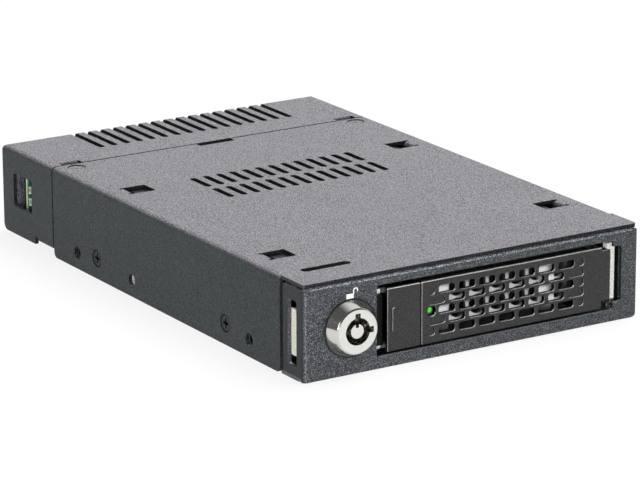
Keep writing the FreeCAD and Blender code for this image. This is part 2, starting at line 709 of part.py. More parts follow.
def rear_foot():
    """Foot on the right wall, turned in under the cover to meet the chassis."""
    level = CHASSIS_REAR_STEP + SHEET
    points = [(HALF_WIDTH - REAR_FOOT_WIDTH, level), (HALF_WIDTH, level), (HALF_WIDTH, SIDE_WINDOW_BOTTOM)]
    return folded(points, SHEET, in_xz(REAR_START), Y * REAR_FOOT_LENGTH)


def rear_cover():
    points = [(HALF_WIDTH, REAR_LIFT), (HALF_WIDTH, BODY_HEIGHT),
              (-HALF_WIDTH, BODY_HEIGHT), (-HALF_WIDTH, REAR_LIFT)]
    channel = folded(points, SHEET, in_xz(REAR_START), Y * REAR_LENGTH)
    points = [(BODY_DEPTH, REAR_LIFT), (BODY_DEPTH, BODY_HEIGHT), (REAR_START, BODY_HEIGHT)]
    back = folded(points, SHEET, in_yz(-FLAT_HALF), X * (2 * FLAT_HALF))
    wall = block(-HALF_WIDTH + SHEET, HALF_WIDTH - SHEET, BODY_DEPTH - SHEET, BODY_DEPTH,
                 REAR_LIFT, COVER_UNDERSIDE - BEND)
    top_corner = V(-HALF_WIDTH, BODY_DEPTH, BODY_HEIGHT)
    low_corner = V(HALF_WIDTH - SHEET, BODY_DEPTH, REAR_LIFT)
    corners = both_sides(corner_cut(low_corner, Y, -Z, REAR_LOW_CORNER, X * SHEET))
    corners.append(corner_cut(top_corner, Y, Z, SHEET + BEND, X * BODY_WIDTH))
    cover = joined(channel, back, wall).cut(corners)

    foot_end = REAR_START + REAR_FOOT_LENGTH + REAR_FOOT_SLIT
    foot_cut = block(HALF_WIDTH - 2 * SHEET, HALF_WIDTH + SHEET, REAR_START - SHEET, foot_end,
                     REAR_LIFT - SHEET, REAR_FOOT_SLIT_TOP)
    window_end = BODY_DEPTH - SIDE_WINDOW_SETBACK
    side_window = rounded_block(HALF_WIDTH - 2 * SHEET, HALF_WIDTH + SHEET,
                                window_end - SIDE_WINDOW_LENGTH, window_end,
                                SIDE_WINDOW_BOTTOM, SIDE_WINDOW_BOTTOM + SIDE_WINDOW_HEIGHT,
                                X, SIDE_WINDOW_RADIUS)
    tab_left = CORNER_TAB_X - CORNER_TAB_WIDTH / 2
    tab_right = CORNER_TAB_X + CORNER_TAB_WIDTH / 2
    tab_root = REAR_START + TAB_NOTCH
    tab_notch = block(tab_left - TAB_RELIEF, tab_right + TAB_RELIEF, REAR_START - SHEET, tab_root,
                      COVER_UNDERSIDE - SHEET, BODY_HEIGHT + SHEET)
    cuts = comb_slots()
    for cut in (foot_cut, side_window, tab_notch):
        cuts += both_sides(cut)
    cuts.append(socket_cut(DATA_SOCKET_X, DATA_SOCKET_WIDTH, DATA_SOCKET_TALL))
    cuts.append(socket_cut(POWER_SOCKET_X, POWER_SOCKET_WIDTH, POWER_SOCKET_TALL))
    cover = cover.cut(cuts)

    tab = joggled_tab(tab_left, tab_right, tab_root, SEAM_DEPTH - TAB_REACH, BODY_HEIGHT)
    cover = joined(cover, *both_sides(tab), *both_sides(rear_foot()))
    top_screw = rod(SCREW_RADIUS, TOP_SCREW_POINT, -Z, THROUGH * SHEET)
    foot_screw = rod(SCREW_RADIUS, REAR_SCREW_POINT, Z, THROUGH * SHEET)
    return cover.cut(both_sides(top_screw) + both_sides(foot_screw))


# Bottom chassis
def board_tab():
    """Tab on the right side, turned up behind the board."""
    top = CHASSIS_REAR_STEP + BOARD_TAB_HEIGHT
    back = BOARD_BACK + SHEET
    points = [(BOARD_FRONT - TAB_ROOT, CHASSIS_REAR_STEP), (back, CHASSIS_REAR_STEP), (back, top)]
    return folded(points, SHEET, in_yz(BOARD_TAB_X - BOARD_TAB_WIDTH / 2), X * BOARD_TAB_WIDTH)


def bottom_chassis():
    points = [(-CHASSIS_HALF, CHASSIS_WALL_HEIGHT), (-CHASSIS_HALF, 0),
              (CHASSIS_HALF, 0), (CHASSIS_HALF, CHASSIS_WALL_HEIGHT)]
    channel = folded(points, SHEET, in_xz(SIDE_START), Y * (CHASSIS_WALL_END - SIDE_START))
    lip_half = HALF_WIDTH - PANEL_SHEET - BEND - SEAT_GAP
    points = [(PANEL_SHEET, CHASSIS_LIP_HEIGHT), (PANEL_SHEET, 0), (SIDE_START, 0)]
    lip = folded(points, SHEET, in_yz(-lip_half), X * (2 * lip_half))
    under = tongue(PANEL_SHEET + SHEET + BEND, 0)
    points = [(CHASSIS_STEP - TAB_ROOT, 0), (CHASSIS_STEP, 0),
              (CHASSIS_STEP + JOGGLE_RUN, CHASSIS_REAR_STEP),
              (BODY_DEPTH - SHEET - CHASSIS_END_GAP, CHASSIS_REAR_STEP)]
    rear = folded(points, SHEET, in_yz(-CHASSIS_FLAT_HALF), X * (2 * CHASSIS_FLAT_HALF))
    step_cut = block(-HALF_WIDTH, HALF_WIDTH, CHASSIS_STEP, CHASSIS_WALL_END + SHEET, -SHEET, SHEET)
    chassis = joined(channel.cut(step_cut), lip, under, rear)

    notch_half = BOARD_TAB_WIDTH / 2 + TAB_RELIEF
    notch = block(BOARD_TAB_X - notch_half, BOARD_TAB_X + notch_half, BOARD_FRONT, BODY_DEPTH,
                  0, CHASSIS_REAR_STEP + 2 * SHEET)
    chassis = joined(chassis.cut(both_sides(notch)), *both_sides(board_tab()))
    cuts = []
    for depth in BAY_HOLES:
        start = V(CHASSIS_HALF - 2 * SHEET, depth, BAY_HOLE_HEIGHT)
        cuts += both_sides(rod(BAY_HOLE_RADIUS, start, X, THROUGH * SHEET))
    for point in SIDE_SCREW_POINTS:
        cuts += both_sides(rod(SCREW_RADIUS + RUNNING_GAP, point, -X, THROUGH * SHEET))
    for point in RAIL_SCREWS:
        cuts.append(countersunk_hole(point, Z, RAIL_SCREW_HEAD, RAIL_SCREW_RADIUS))
    cuts += both_sides(cover_screw_hole(REAR_SCREW_POINT, Z))
    board_screw = V(BOARD_TAB_X, BOARD_FRONT, BOARD_SCREW_HEIGHT)
    cuts += both_sides(rod(BOARD_SCREW_RADIUS + RUNNING_GAP, board_screw, Y, BOARD_THICKNESS + 2 * SHEET))
    return chassis.cut(cuts)


# Front panel
def lock_hole():
    radius = LOCK_BODY_RADIUS + SEAT_GAP
    flat = LOCK_FLAT + SEAT_GAP
    hole = rod(radius, V(LOCK_X, -PANEL_SHEET, LOCK_HEIGHT), Y, THROUGH * PANEL_SHEET)
    band = block(LOCK_X - radius, LOCK_X + radius, -PANEL_SHEET, 2 * PANEL_SHEET,
                 LOCK_HEIGHT - flat, LOCK_HEIGHT + flat)
    return hole.common(band)


def front_panel():
    points = [(-HALF_WIDTH, FLANGE_DEPTH), (-HALF_WIDTH, 0), (HALF_WIDTH, 0), (HALF_WIDTH, FLANGE_DEPTH)]
    panel = folded(points, PANEL_SHEET, in_xy(PANEL_LIFT), Z * (PANEL_TOP - PANEL_LIFT), PANEL_BEND)
    bend_end = PANEL_SHEET + PANEL_BEND
    flange_half = HALF_WIDTH - PANEL_TOP_FLANGE_INSET
    flange_end = FLANGE_DEPTH + SHEET
    cuts = [
        block(-HALF_WIDTH, HALF_WIDTH, bend_end, flange_end, 0, SHEET + FLANGE_BOTTOM_GAP),
        block(-HALF_WIDTH, HALF_WIDTH, bend_end, flange_end, PANEL_TOP - FLANGE_TOP_GAP, BODY_HEIGHT),
        block(-flange_half, flange_half, -SHEET, bend_end, PANEL_TOP - bend_end, BODY_HEIGHT),
    ]
    along = Y * FLANGE_SLOT_START
    cuts.append(corner_cut(V(HALF_WIDTH, 0, PANEL_LIFT), X, -Z, PANEL_LOW_CORNER, along))
    cuts.append(corner_cut(V(HALF_WIDTH, 0, PANEL_TOP), X, Z, PANEL_HIGH_CORNER, along))
    panel = panel.cut(cuts)
    points = [(PANEL_TOP_FLANGE, PANEL_TOP), (0, PANEL_TOP), (0, PANEL_TOP - 2 * bend_end)]
    flange = folded(points, PANEL_SHEET, in_yz(-flange_half), X * (2 * flange_half), PANEL_BEND)
    panel = joined(panel, flange)

    flange_slot = rounded_block(HALF_WIDTH - 2 * PANEL_SHEET, HALF_WIDTH + SHEET,
                                FLANGE_SLOT_START, FLANGE_SLOT_START + FLANGE_SLOT_WIDTH,
                                FLANGE_SLOT_BOTTOM, PANEL_TOP - FLANGE_SLOT_TOP_INSET, X, FLANGE_SLOT_RADIUS)
    opening = rounded_block(OPENING_LEFT, OPENING_RIGHT, -PANEL_SHEET, 2 * PANEL_SHEET,
                            OPENING_BOTTOM, OPENING_TOP, Y, OPENING_RADIUS)
    hook_slot = rounded_block(OPENING_RIGHT - HOOK_SLOT_REACH, OPENING_RIGHT + HOOK_SLOT_REACH,
                              -PANEL_SHEET, 2 * PANEL_SHEET,
                              OPENING_BOTTOM + HOOK_SLOT_RISE, OPENING_TOP - HOOK_SLOT_DROP,
                              Y, OPENING_RADIUS)
    return panel.cut(both_sides(flange_slot) + [opening, hook_slot, lock_hole()])


# Guide rails
def guide_rails():
    floor = SHEET + RAIL_FLOOR
    left_wall = RAIL_LEFT_OUTER + RAIL_WALL
    inner_wall = RAIL_LEFT_INNER - RAIL_WALL
    left = [(RAIL_LEFT_OUTER, SHEET), (RAIL_LEFT_INNER + RAIL_LEDGE, SHEET),
            (RAIL_LEFT_INNER + RAIL_LEDGE, RAIL_LEDGE_TOP), (RAIL_LEFT_INNER, RAIL_LEDGE_TOP),
            (RAIL_LEFT_INNER, RAIL_TOP), (inner_wall, RAIL_TOP), (inner_wall, floor),
            (left_wall, floor), (left_wall, RAIL_TOP), (RAIL_LEFT_OUTER, RAIL_TOP)]
    right = [(RAIL_RIGHT_INNER - RAIL_LEDGE, SHEET), (RAIL_FOOT_RIGHT, SHEET), (RAIL_FOOT_RIGHT, floor),
             (RAIL_RIGHT_OUTER, floor), (RAIL_RIGHT_OUTER, RAIL_TOP), (RAIL_RIGHT_INNER, RAIL_TOP),
             (RAIL_RIGHT_INNER, RAIL_LEDGE_TOP), (RAIL_RIGHT_INNER - RAIL_LEDGE, RAIL_LEDGE_TOP)]
    holes = [rod(RAIL_SCREW_RADIUS, point, Z, RAIL_SCREW_LENGTH + RUNNING_GAP) for point in RAIL_SCREWS]
    length = Y * (RAIL_END - RAIL_FRONT)
    return [prism(points, in_xz(RAIL_FRONT), length).cut(holes) for points in (left, right)]


# Lock
def lock_barrel():
    face = -LOCK_PROJECTION
    bore = LOCK_CORE_RADIUS + RUNNING_GAP
    barrel = turned([(LOCK_KEYWAY_RADIUS, face), (LOCK_FACE_RADIUS - LOCK_FACE_EDGE, face),
                     (LOCK_FACE_RADIUS, face + LOCK_FACE_EDGE), (LOCK_COLLAR_RADIUS, -LOCK_GASKET),
                     (LOCK_BODY_RADIUS, -LOCK_GASKET), (LOCK_BODY_RADIUS, LOCK_END),
                     (bore, LOCK_END), (bore, LOCK_KEYWAY_END),
                     (LOCK_KEYWAY_RADIUS, LOCK_KEYWAY_END)], LOCK_AXIS)
    cuts = []
    for sign in (-1, 1):
        for flat, start, end in ((LOCK_FLAT, 0, LOCK_END),
                                 (LOCK_FLAT - LOCK_GROOVE, PANEL_SHEET, PANEL_SHEET + CLIP_SHEET)):
            near = LOCK_HEIGHT + sign * flat
            far = LOCK_HEIGHT + sign * LOCK_COLLAR_RADIUS
            cuts.append(block(LOCK_X - LOCK_COLLAR_RADIUS, LOCK_X + LOCK_COLLAR_RADIUS,
                              start, end, min(near, far), max(near, far)))
    half = LOCK_NOTCH_WIDTH / 2
    cuts.append(block(LOCK_X - half, LOCK_X + half, face, face + LOCK_NOTCH_DEPTH,
                      LOCK_HEIGHT, LOCK_HEIGHT + LOCK_NOTCH_RADIUS))
    cuts.append(block(LOCK_X, LOCK_X + LOCK_NOTCH_RADIUS, face, face + LOCK_NOTCH_DEPTH,
                      LOCK_HEIGHT - half, LOCK_HEIGHT + half))
    return barrel.cut(cuts)


def lock_gasket():
    inner = LOCK_BODY_RADIUS + SEAT_GAP
    return turned([(inner, -LOCK_GASKET), (LOCK_GASKET_RADIUS, -LOCK_GASKET),
                   (LOCK_GASKET_RADIUS, 0), (inner, 0)], LOCK_AXIS)


def cam_square(side, start, end):
    half = side / 2
    return block(LOCK_X - half, LOCK_X + half, start, end, LOCK_HEIGHT - half, LOCK_HEIGHT + half)


def lock_core():
    tip = -LOCK_PROJECTION + LOCK_POST_SETBACK
    shoulder = LOCK_KEYWAY_END + RUNNING_GAP
    core = turned([(0, tip), (LOCK_POST_RADIUS, tip), (LOCK_POST_RADIUS, shoulder),
                   (LOCK_CORE_RADIUS, shoulder), (LOCK_CORE_RADIUS, LOCK_END), (0, LOCK_END)], LOCK_AXIS)
    core = joined(core, cam_square(CAM_SQUARE, LOCK_END - SHEET, CAM_BACK - RUNNING_GAP))
    half = LOCK_POST_NOTCH / 2
    notch = block(LOCK_X - half, LOCK_X + half, tip, tip + LOCK_NOTCH_DEPTH,
                  LOCK_HEIGHT + LOCK_POST_RADIUS - LOCK_POST_NOTCH, LOCK_HEIGHT + LOCK_POST_RADIUS)
    bore = rod(CAM_SCREW_RADIUS, V(LOCK_X, CAM_BACK, LOCK_HEIGHT), -Y, CAM_SCREW_LENGTH + SHEET)
    return core.cut([notch, bore])


def lock_cam():
    hub = V(LOCK_X, CAM_FRONT, LOCK_HEIGHT)
    arm = slot_prism(hub, hub + Z * (CAM_REACH - CAM_TIP_RADIUS), 2 * CAM_TIP_RADIUS, Y * CAM_SHEET)
    cam = joined(arm, rod(CAM_HUB_RADIUS, hub, Y, CAM_SHEET))
    return cam.cut(cam_square(CAM_SQUARE + 2 * RUNNING_GAP, CAM_FRONT - SHEET, CAM_BACK + SHEET))


def cam_screw():
    head = rod(CAM_SCREW_HEAD, V(LOCK_X, CAM_BACK, LOCK_HEIGHT), Y, CAM_SCREW_HEAD_HEIGHT)
    head_end = V(LOCK_X, CAM_BACK + CAM_SCREW_HEAD_HEIGHT, LOCK_HEIGHT)
    shank = rod(CAM_SCREW_RADIUS, head_end, -Y, CAM_SCREW_HEAD_HEIGHT + CAM_SCREW_LENGTH)
    return joined(head, shank).cut(cross_recess(head_end, -Y))


def lock_clip():
    """Fork that grips the barrel's grooves behind the panel, with a lug beside the panel's flange."""
    lug_face = -HALF_WIDTH + PANEL_SHEET + CLIP_LUG_GAP
    bottom = LOCK_HEIGHT - CLIP_FORK_HEIGHT / 2
    end = PANEL_SHEET + CLIP_LUG_DEPTH
    points = [(lug_face, end), (lug_face, PANEL_SHEET), (LOCK_X + CLIP_RIGHT, PANEL_SHEET)]
    clip = folded(points, CLIP_SHEET, in_xy(bottom), Z * CLIP_FORK_HEIGHT)
    lug_bottom = LOCK_HEIGHT - CLIP_LUG_DROP - CLIP_LUG_HEIGHT / 2
    lug_right = lug_face + 2 * CLIP_SHEET
    lug = rounded_block(lug_face - SHEET, lug_right, PANEL_SHEET - 2 * CLIP_LUG_RADIUS, end,
                        lug_bottom, lug_bottom + CLIP_LUG_HEIGHT, X, CLIP_LUG_RADIUS)
    around = block(lug_face - SHEET, lug_right, 0, end, bottom, bottom + CLIP_FORK_HEIGHT)
    grip = LOCK_FLAT - LOCK_GROOVE + RUNNING_GAP
    fork = block(LOCK_X - LOCK_BODY_RADIUS - SEAT_GAP, LOCK_X + 2 * CLIP_RIGHT,
                 0, 2 * PANEL_SHEET + CLIP_SHEET, LOCK_HEIGHT - grip, LOCK_HEIGHT + grip)
    return clip.cut([around.cut(lug), fork])


# Tray
def tray_channel():
    """Floor and two walls, with a strip of floor and wall at the left that carries the button."""
    points = [(TRAY_LEFT, TRAY_WALL_TOP), (TRAY_LEFT, TRAY_FLOOR_HEIGHT),
              (TRAY_RIGHT, TRAY_FLOOR_HEIGHT), (TRAY_RIGHT, TRAY_WALL_TOP)]
    channel = folded(points, SHEET, in_xz(TRAY_RIGHT_FRONT), Y * (TRAY_END - TRAY_RIGHT_FRONT))
    channel = channel.cut(block(TRAY_RIGHT - SHEET, TRAY_RIGHT, TRAY_RIGHT_FRONT,
                                TRAY_RIGHT_FRONT + HINGE_FLANGE_LENGTH, DOOR_MIDDLE, TRAY_WALL_TOP))
    deck_start = TRAY_LEFT_FRONT + SHEET + BEND
    points = [(TRAY_LEFT, TRAY_WALL_TOP), (TRAY_LEFT, TRAY_FLOOR_HEIGHT), (HOUSING_RIGHT, TRAY_FLOOR_HEIGHT)]
    deck = folded(points, SHEET, in_xz(deck_start), Y * (DECK_END - deck_start))
    apron = block(TRAY_LEFT + SHEET + BEND, BUTTON_MIDDLE_X, TRAY_LEFT_FRONT, deck_start,
                  TRAY_FLOOR_HEIGHT, TRAY_FLOOR_TOP)
    lips = []
    for width, bottom in ((TRAY_FRONT_LIP, TRAY_FLOOR_TOP + BEND),
                          (TRAY_LIP_TAB, TRAY_WALL_TOP - TRAY_LIP_TAB_HEIGHT)):
        points = [(TRAY_LEFT, DECK_END), (TRAY_LEFT, TRAY_LEFT_FRONT), (TRAY_LEFT + width, TRAY_LEFT_FRONT)]
        lips.append(folded(points, SHEET, in_xy(bottom), Z * (TRAY_WALL_TOP - bottom)))
    return joined(channel, deck, apron, *lips)


def hinge_lugs():
    """The floor's ear and the right wall's top flange with its ear, either side of the lever."""
    root = PIVOT + Y * (TRAY_RIGHT_FRONT + LUG_RADIUS - PIVOT_DEPTH)
    ears = [slot_prism(PIVOT + Z * height, root + Z * height, 2 * LUG_RADIUS, Z * SHEET)
            for height in (TRAY_FLOOR_HEIGHT, HINGE_FLANGE_BOTTOM)]
    points = [(TRAY_RIGHT, DOOR_MIDDLE), (TRAY_RIGHT, TRAY_WALL_TOP),
              (TRAY_RIGHT - HINGE_FLANGE_WIDTH, TRAY_WALL_TOP)]
    flange = folded(points, SHEET, in_xz(TRAY_RIGHT_FRONT), Y * HINGE_FLANGE_LENGTH)
    return ears + [flange]


def bulkhead():
    """Perforated wall turned up from the floor behind the grille, on two posts."""
    points = [(BULKHEAD_DEPTH, BULKHEAD_TOP), (BULKHEAD_DEPTH, TRAY_FLOOR_HEIGHT),
              (DECK_END, TRAY_FLOOR_HEIGHT)]
    wall = folded(points, SHEET, in_yz(BULKHEAD_LEFT), X * (BULKHEAD_RIGHT - BULKHEAD_LEFT))
    front = BULKHEAD_DEPTH - SHEET
    back = BULKHEAD_DEPTH + 2 * SHEET
    posts = []
    for inset, width in ((BULKHEAD_LEFT_POST, BULKHEAD_LEFT_POST_WIDTH),
                         (BULKHEAD_RIGHT_POST, BULKHEAD_RIGHT_POST_WIDTH)):
        x = GRILLE_LEFT + inset
        posts.append(block(x - width / 2, x + width / 2, front, back, 0, BODY_HEIGHT))
    foot = block(GRILLE_LEFT + BULKHEAD_LEFT_POST, BULKHEAD_RIGHT + SHEET, front, back,
                 TRAY_FLOOR_TOP, BULKHEAD_BOTTOM)
    cuts = [foot.cut(posts)]
    for row in range(BULKHEAD_HOLE_ROWS):
        z = BULKHEAD_BOTTOM + BULKHEAD_EDGE + BULKHEAD_HOLE_RADIUS
        z += row * (2 * BULKHEAD_HOLE_RADIUS + BULKHEAD_WEB)
        for column in range(GRILLE_BRICK_COUNT - 1):
            x = GRILLE_LEFT + BULKHEAD_HOLE_INSET + column * GRILLE_PITCH
            cuts.append(rod(BULKHEAD_HOLE_RADIUS, V(x, front, z), Y, back - front).cut(posts))
    cuts.append(rod(PIPE_RADIUS + RUNNING_GAP, V(LIGHT_X, front, GRILLE_MIDDLE), Y, back - front))
    return wall.cut(cuts)


def housing_screw_points():
    return [V(x, HOUSING_SCREW_DEPTH, TRAY_FLOOR_HEIGHT)
            for x in ((HOUSING_LEFT + BUTTON_LEFT + BUTTON_SKIRT_INSET_X) / 2,
                      (HOUSING_RIGHT + BUTTON_RIGHT - BUTTON_SKIRT_INSET_X) / 2)]


def tray_frame():
    frame = joined(tray_channel(), bulkhead(), *hinge_lugs())
    cuts = [rod(PIN_RADIUS + RUNNING_GAP / 2, PIVOT, Z, BODY_HEIGHT)]
    for sign_x in (-1, 1):
        for setback in (DRIVE_HOLE_SETBACK, DRIVE_HOLE_SETBACK + DRIVE_HOLE_SPAN_Y):
            x = TRAY_CENTRE_X + sign_x * (TRAY_INNER_HALF - DRIVE_HOLE_INSET)
            point = V(x, DRIVE_END - setback, TRAY_FLOOR_HEIGHT)
            cuts.append(rod(DRIVE_HOLE_RADIUS, point, Z, 2 * SHEET))
            sink_depth = SHEET / 2
            cuts.append(Part.makeCone(DRIVE_HOLE_SINK, DRIVE_HOLE_SINK - sink_depth, sink_depth, point, Z))
    for point in housing_screw_points():
        cuts.append(countersunk_hole(point, Z, HOUSING_SCREW_HEAD, HOUSING_SCREW_RADIUS))
    cam_gap = (CAM_SLOT_WIDTH - CAM_SHEET) / 2
    cuts.append(block(TRAY_LEFT - SHEET, TRAY_LEFT + 2 * SHEET, CAM_FRONT - cam_gap, CAM_BACK + cam_gap,
                      LOCK_HEIGHT - CAM_TIP_RADIUS - cam_gap, TRAY_WALL_TOP + SHEET))
    return frame.cut(cuts)


def button_housing():
    """Plastic block on the tray's floor, open at the front, that hooks round the tray's front lip."""
    skirt_left = BUTTON_LEFT + BUTTON_SKIRT_INSET_X - HOUSING_WALL
    skirt_right = BUTTON_RIGHT - BUTTON_SKIRT_INSET_X + HOUSING_WALL
    skirt_bottom = DOOR_BOTTOM + BUTTON_SKIRT_INSET_Z - HOUSING_WALL
    skirt_top = DOOR_TOP - BUTTON_SKIRT_INSET_Z + HOUSING_WALL
    body = rounded_block(HOUSING_LEFT, HOUSING_RIGHT, HOUSING_FRONT, HOUSING_END,
                         TRAY_FLOOR_TOP, DOOR_TOP - HOUSING_TOP_GAP, Y, OPENING_RADIUS)
    cheek_front = TRAY_LEFT_FRONT - SEAT_GAP - HOUSING_CHEEK
    lip_end = TRAY_LEFT + TRAY_FRONT_LIP + SEAT_GAP
    cheek_left = TRAY_LEFT + HOUSING_WALL
    cheek_right = BUTTON_LEFT - HOUSING_WALL
    cheek_back = cheek_front + HOUSING_CHEEK
    points = [(cheek_left, cheek_front), (cheek_right, cheek_front), (cheek_right, HOUSING_FLOOR_FRONT),
              (lip_end, HOUSING_FLOOR_FRONT), (lip_end, cheek_back), (cheek_left, cheek_back)]
    cheek_bottom = TRAY_FLOOR_TOP + SEAT_GAP
    cheek_top = TRAY_WALL_TOP - TRAY_LIP_TAB_HEIGHT - SEAT_GAP
    cheek = prism(points, in_xy(cheek_bottom), Z * (cheek_top - cheek_bottom))
    pocket = block(skirt_left, skirt_right, 0, HOUSING_FLOOR_FRONT, skirt_bottom, skirt_top)
    stem_hole = rod(BUTTON_STEM_RADIUS + SEAT_GAP, V(BUTTON_MIDDLE_X, 0, DOOR_MIDDLE), Y, BODY_DEPTH)
    screws = [rod(HOUSING_SCREW_RADIUS, point, Z, HOUSING_SCREW_LENGTH + RUNNING_GAP)
              for point in housing_screw_points()]
    return joined(body, cheek).cut([pocket, stem_hole] + screws)


def release_button():
    cap = rounded_block(BUTTON_LEFT, BUTTON_RIGHT, FRONT_SETBACK, BUTTON_BACK,
                        DOOR_BOTTOM, DOOR_TOP, Y, BUTTON_CORNER)
    front = [edge for edge in cap.Edges if edge.BoundBox.YMax < FRONT_SETBACK + RUNNING_GAP]
    cap = cap.makeFillet(BUTTON_EDGE, front)
    left = BUTTON_LEFT + BUTTON_SKIRT_INSET_X
    right = BUTTON_RIGHT - BUTTON_SKIRT_INSET_X
    bottom = DOOR_BOTTOM + BUTTON_SKIRT_INSET_Z
    top = DOOR_TOP - BUTTON_SKIRT_INSET_Z
    end = BUTTON_BACK + BUTTON_SKIRT_LENGTH
    skirt = block(left, right, BUTTON_BACK, end, bottom, top)
    wall = BUTTON_SKIRT_WALL
    skirt = skirt.cut(block(left + wall, right - wall, BUTTON_BACK, end, bottom + wall, top - wall))
    stem_root = V(BUTTON_MIDDLE_X, BUTTON_BACK, DOOR_MIDDLE)
    stem = rod(BUTTON_STEM_RADIUS, stem_root, Y, HOUSING_END - BUTTON_BACK)
    rib_left = BUTTON_LEFT + BUTTON_RIB_INSET
    rib = rounded_block(rib_left, rib_left + BUTTON_RIB_WIDTH, FRONT_SETBACK - BUTTON_RIB_STAND, BUTTON_BACK,
                        DOOR_MIDDLE - BUTTON_RIB_HEIGHT / 2, DOOR_MIDDLE + BUTTON_RIB_HEIGHT / 2,
                        Y, BUTTON_RIB_WIDTH / 3)
    return joined(cap, skirt, stem, rib)


def button_spring():
    """Coil round the button's stem, between the cap and the housing's back."""
    start = BUTTON_BACK + SPRING_WIRE
    height = HOUSING_FLOOR_FRONT - SPRING_WIRE - start
    helix = Part.Wire(Part.makeHelix(height / SPRING_TURNS, height, SPRING_RADIUS).Edges)
    corners = [V(SPRING_RADIUS + SPRING_WIRE * math.cos(turn), 0, SPRING_WIRE * math.sin(turn))
               for turn in (math.radians(60 * side) for side in range(7))]
    coil = helix.makePipeShell([Part.makePolygon(corners)], True, True)
    coil.rotate(V(0, 0, 0), X, -90)
    coil.translate(V(BUTTON_MIDDLE_X, start, DOOR_MIDDLE))
    return coil


def light_pipe():
    """Round clear rod from the tray's rear end, along its left wall's top, to the grille."""
    corners = [V(PIPE_SIDE_X, TRAY_END, PIPE_SIDE_HEIGHT),
               V(PIPE_SIDE_X, PIPE_TURN, PIPE_SIDE_HEIGHT),
               V(PIPE_SIDE_X + PIPE_INSET, PIPE_DIP_START, PIPE_SIDE_HEIGHT),
               V(LIGHT_X, PIPE_DIP_END, GRILLE_MIDDLE),
               V(LIGHT_X, PIPE_FRONT, GRILLE_MIDDLE)]
    path = Part.Wire(bent_edges(corners, [PIPE_BEND] * 3, lambda point: point))
    section = Part.Wire(Part.Circle(corners[0], Y, PIPE_RADIUS).toShape())
    return path.makePipeShell([section], True, False)


# Lever door
def grille_row_height(row):
    return GRILLE_MIDDLE + (row - (GRILLE_ROW_COUNT - 1) / 2) * GRILLE_ROW_PITCH


def grille_row_spans(row):
    """Left and right ends of one row's bricks. Every other row is shifted and starts with a half brick."""
    shift = -GRILLE_PITCH / 2 if row % 2 == 0 else 0
    count = GRILLE_BRICK_COUNT + 1 if row % 2 == 0 else GRILLE_BRICK_COUNT
    spans = []
    for index in range(count):
        left = GRILLE_LEFT + shift + index * GRILLE_PITCH
        right = left + GRILLE_PITCH - GRILLE_WEB
        spans.append((max(left, GRILLE_LEFT), min(right, GRILLE_RIGHT)))
    return spans


def grille_bricks():
    """Openings of the grille's staggered rows. End bricks are shallow, and the light has one's place."""
    bricks = []
    for row in range(GRILLE_ROW_COUNT):
        z = grille_row_height(row)
        spans = grille_row_spans(row)
        for index, (left, right) in enumerate(spans):
            if index == 0 and 2 * row == GRILLE_ROW_COUNT - 1:
                continue
            end_brick = index in (0, len(spans) - 1)
            depth = GRILLE_BLIND_DEPTH if end_brick else DOOR_SKIN + SHEET
            bricks.append(rounded_block(left, right, FRONT_SETBACK - SHEET, FRONT_SETBACK + depth,
                                        z - GRILLE_BRICK_HEIGHT / 2, z + GRILLE_BRICK_HEIGHT / 2,
                                        Y, GRILLE_BRICK_RADIUS))
    half_width = LIGHT_HOLE_WIDTH / 2
    half_height = LIGHT_HOLE_HEIGHT / 2
    bricks.append(rounded_block(LIGHT_X - half_width, LIGHT_X + half_width,
                                FRONT_SETBACK - SHEET, DOOR_BACK + SHEET,
                                GRILLE_MIDDLE - half_height, GRILLE_MIDDLE + half_height,
                                Y, LIGHT_HOLE_RADIUS))
    return bricks


def tray_door():
    skin = rounded_block(DOOR_LEFT, DOOR_RIGHT, FRONT_SETBACK, DOOR_BACK,
                         DOOR_BOTTOM, DOOR_TOP, Y, DOOR_CORNER)
    front = [edge for edge in skin.Edges if edge.BoundBox.YMax < FRONT_SETBACK + RUNNING_GAP]
    skin = skin.makeFillet(DOOR_EDGE, front)
    notch_left = DOOR_RIGHT - DOOR_NOTCH_WIDTH
    notch_heights = ((0, DOOR_BOTTOM + DOOR_NOTCH_BOTTOM), (DOOR_TOP - DOOR_NOTCH_TOP, BODY_HEIGHT))
    notches = [block(notch_left, DOOR_RIGHT + SHEET, 0, DOOR_BACK + SHEET, bottom, top)
               for bottom, top in notch_heights]
    rim_right = DOOR_RIGHT - DOOR_RIM_INSET
    rim = block(DOOR_LEFT, rim_right, DOOR_BACK, DOOR_RIM_BACK, DOOR_BOTTOM, DOOR_TOP)
    rim = rim.cut(block(DOOR_LEFT + DOOR_RIM, rim_right - DOOR_RIM, 0, BODY_DEPTH,
                        DOOR_BOTTOM + DOOR_RIM, DOOR_TOP - DOOR_RIM))
    knuckle_bottom = HOOK_BOTTOM + HOOK_SHEET
    knuckle_height = HOOK_TOP - HOOK_SHEET - knuckle_bottom
    knuckle = rod(KNUCKLE_RADIUS, PIVOT + Z * knuckle_bottom, Z, knuckle_height)
    web = block(PIVOT_X - KNUCKLE_RADIUS, PIVOT_X + KNUCKLE_RADIUS, DOOR_BACK - RUNNING_GAP, PIVOT_DEPTH,
                knuckle_bottom, knuckle_bottom + knuckle_height)
    door = joined(skin.cut(grille_bricks() + notches), rim, knuckle, web)
    return door.cut(rod(PIN_RADIUS + RUNNING_GAP, PIVOT, Z, BODY_HEIGHT))


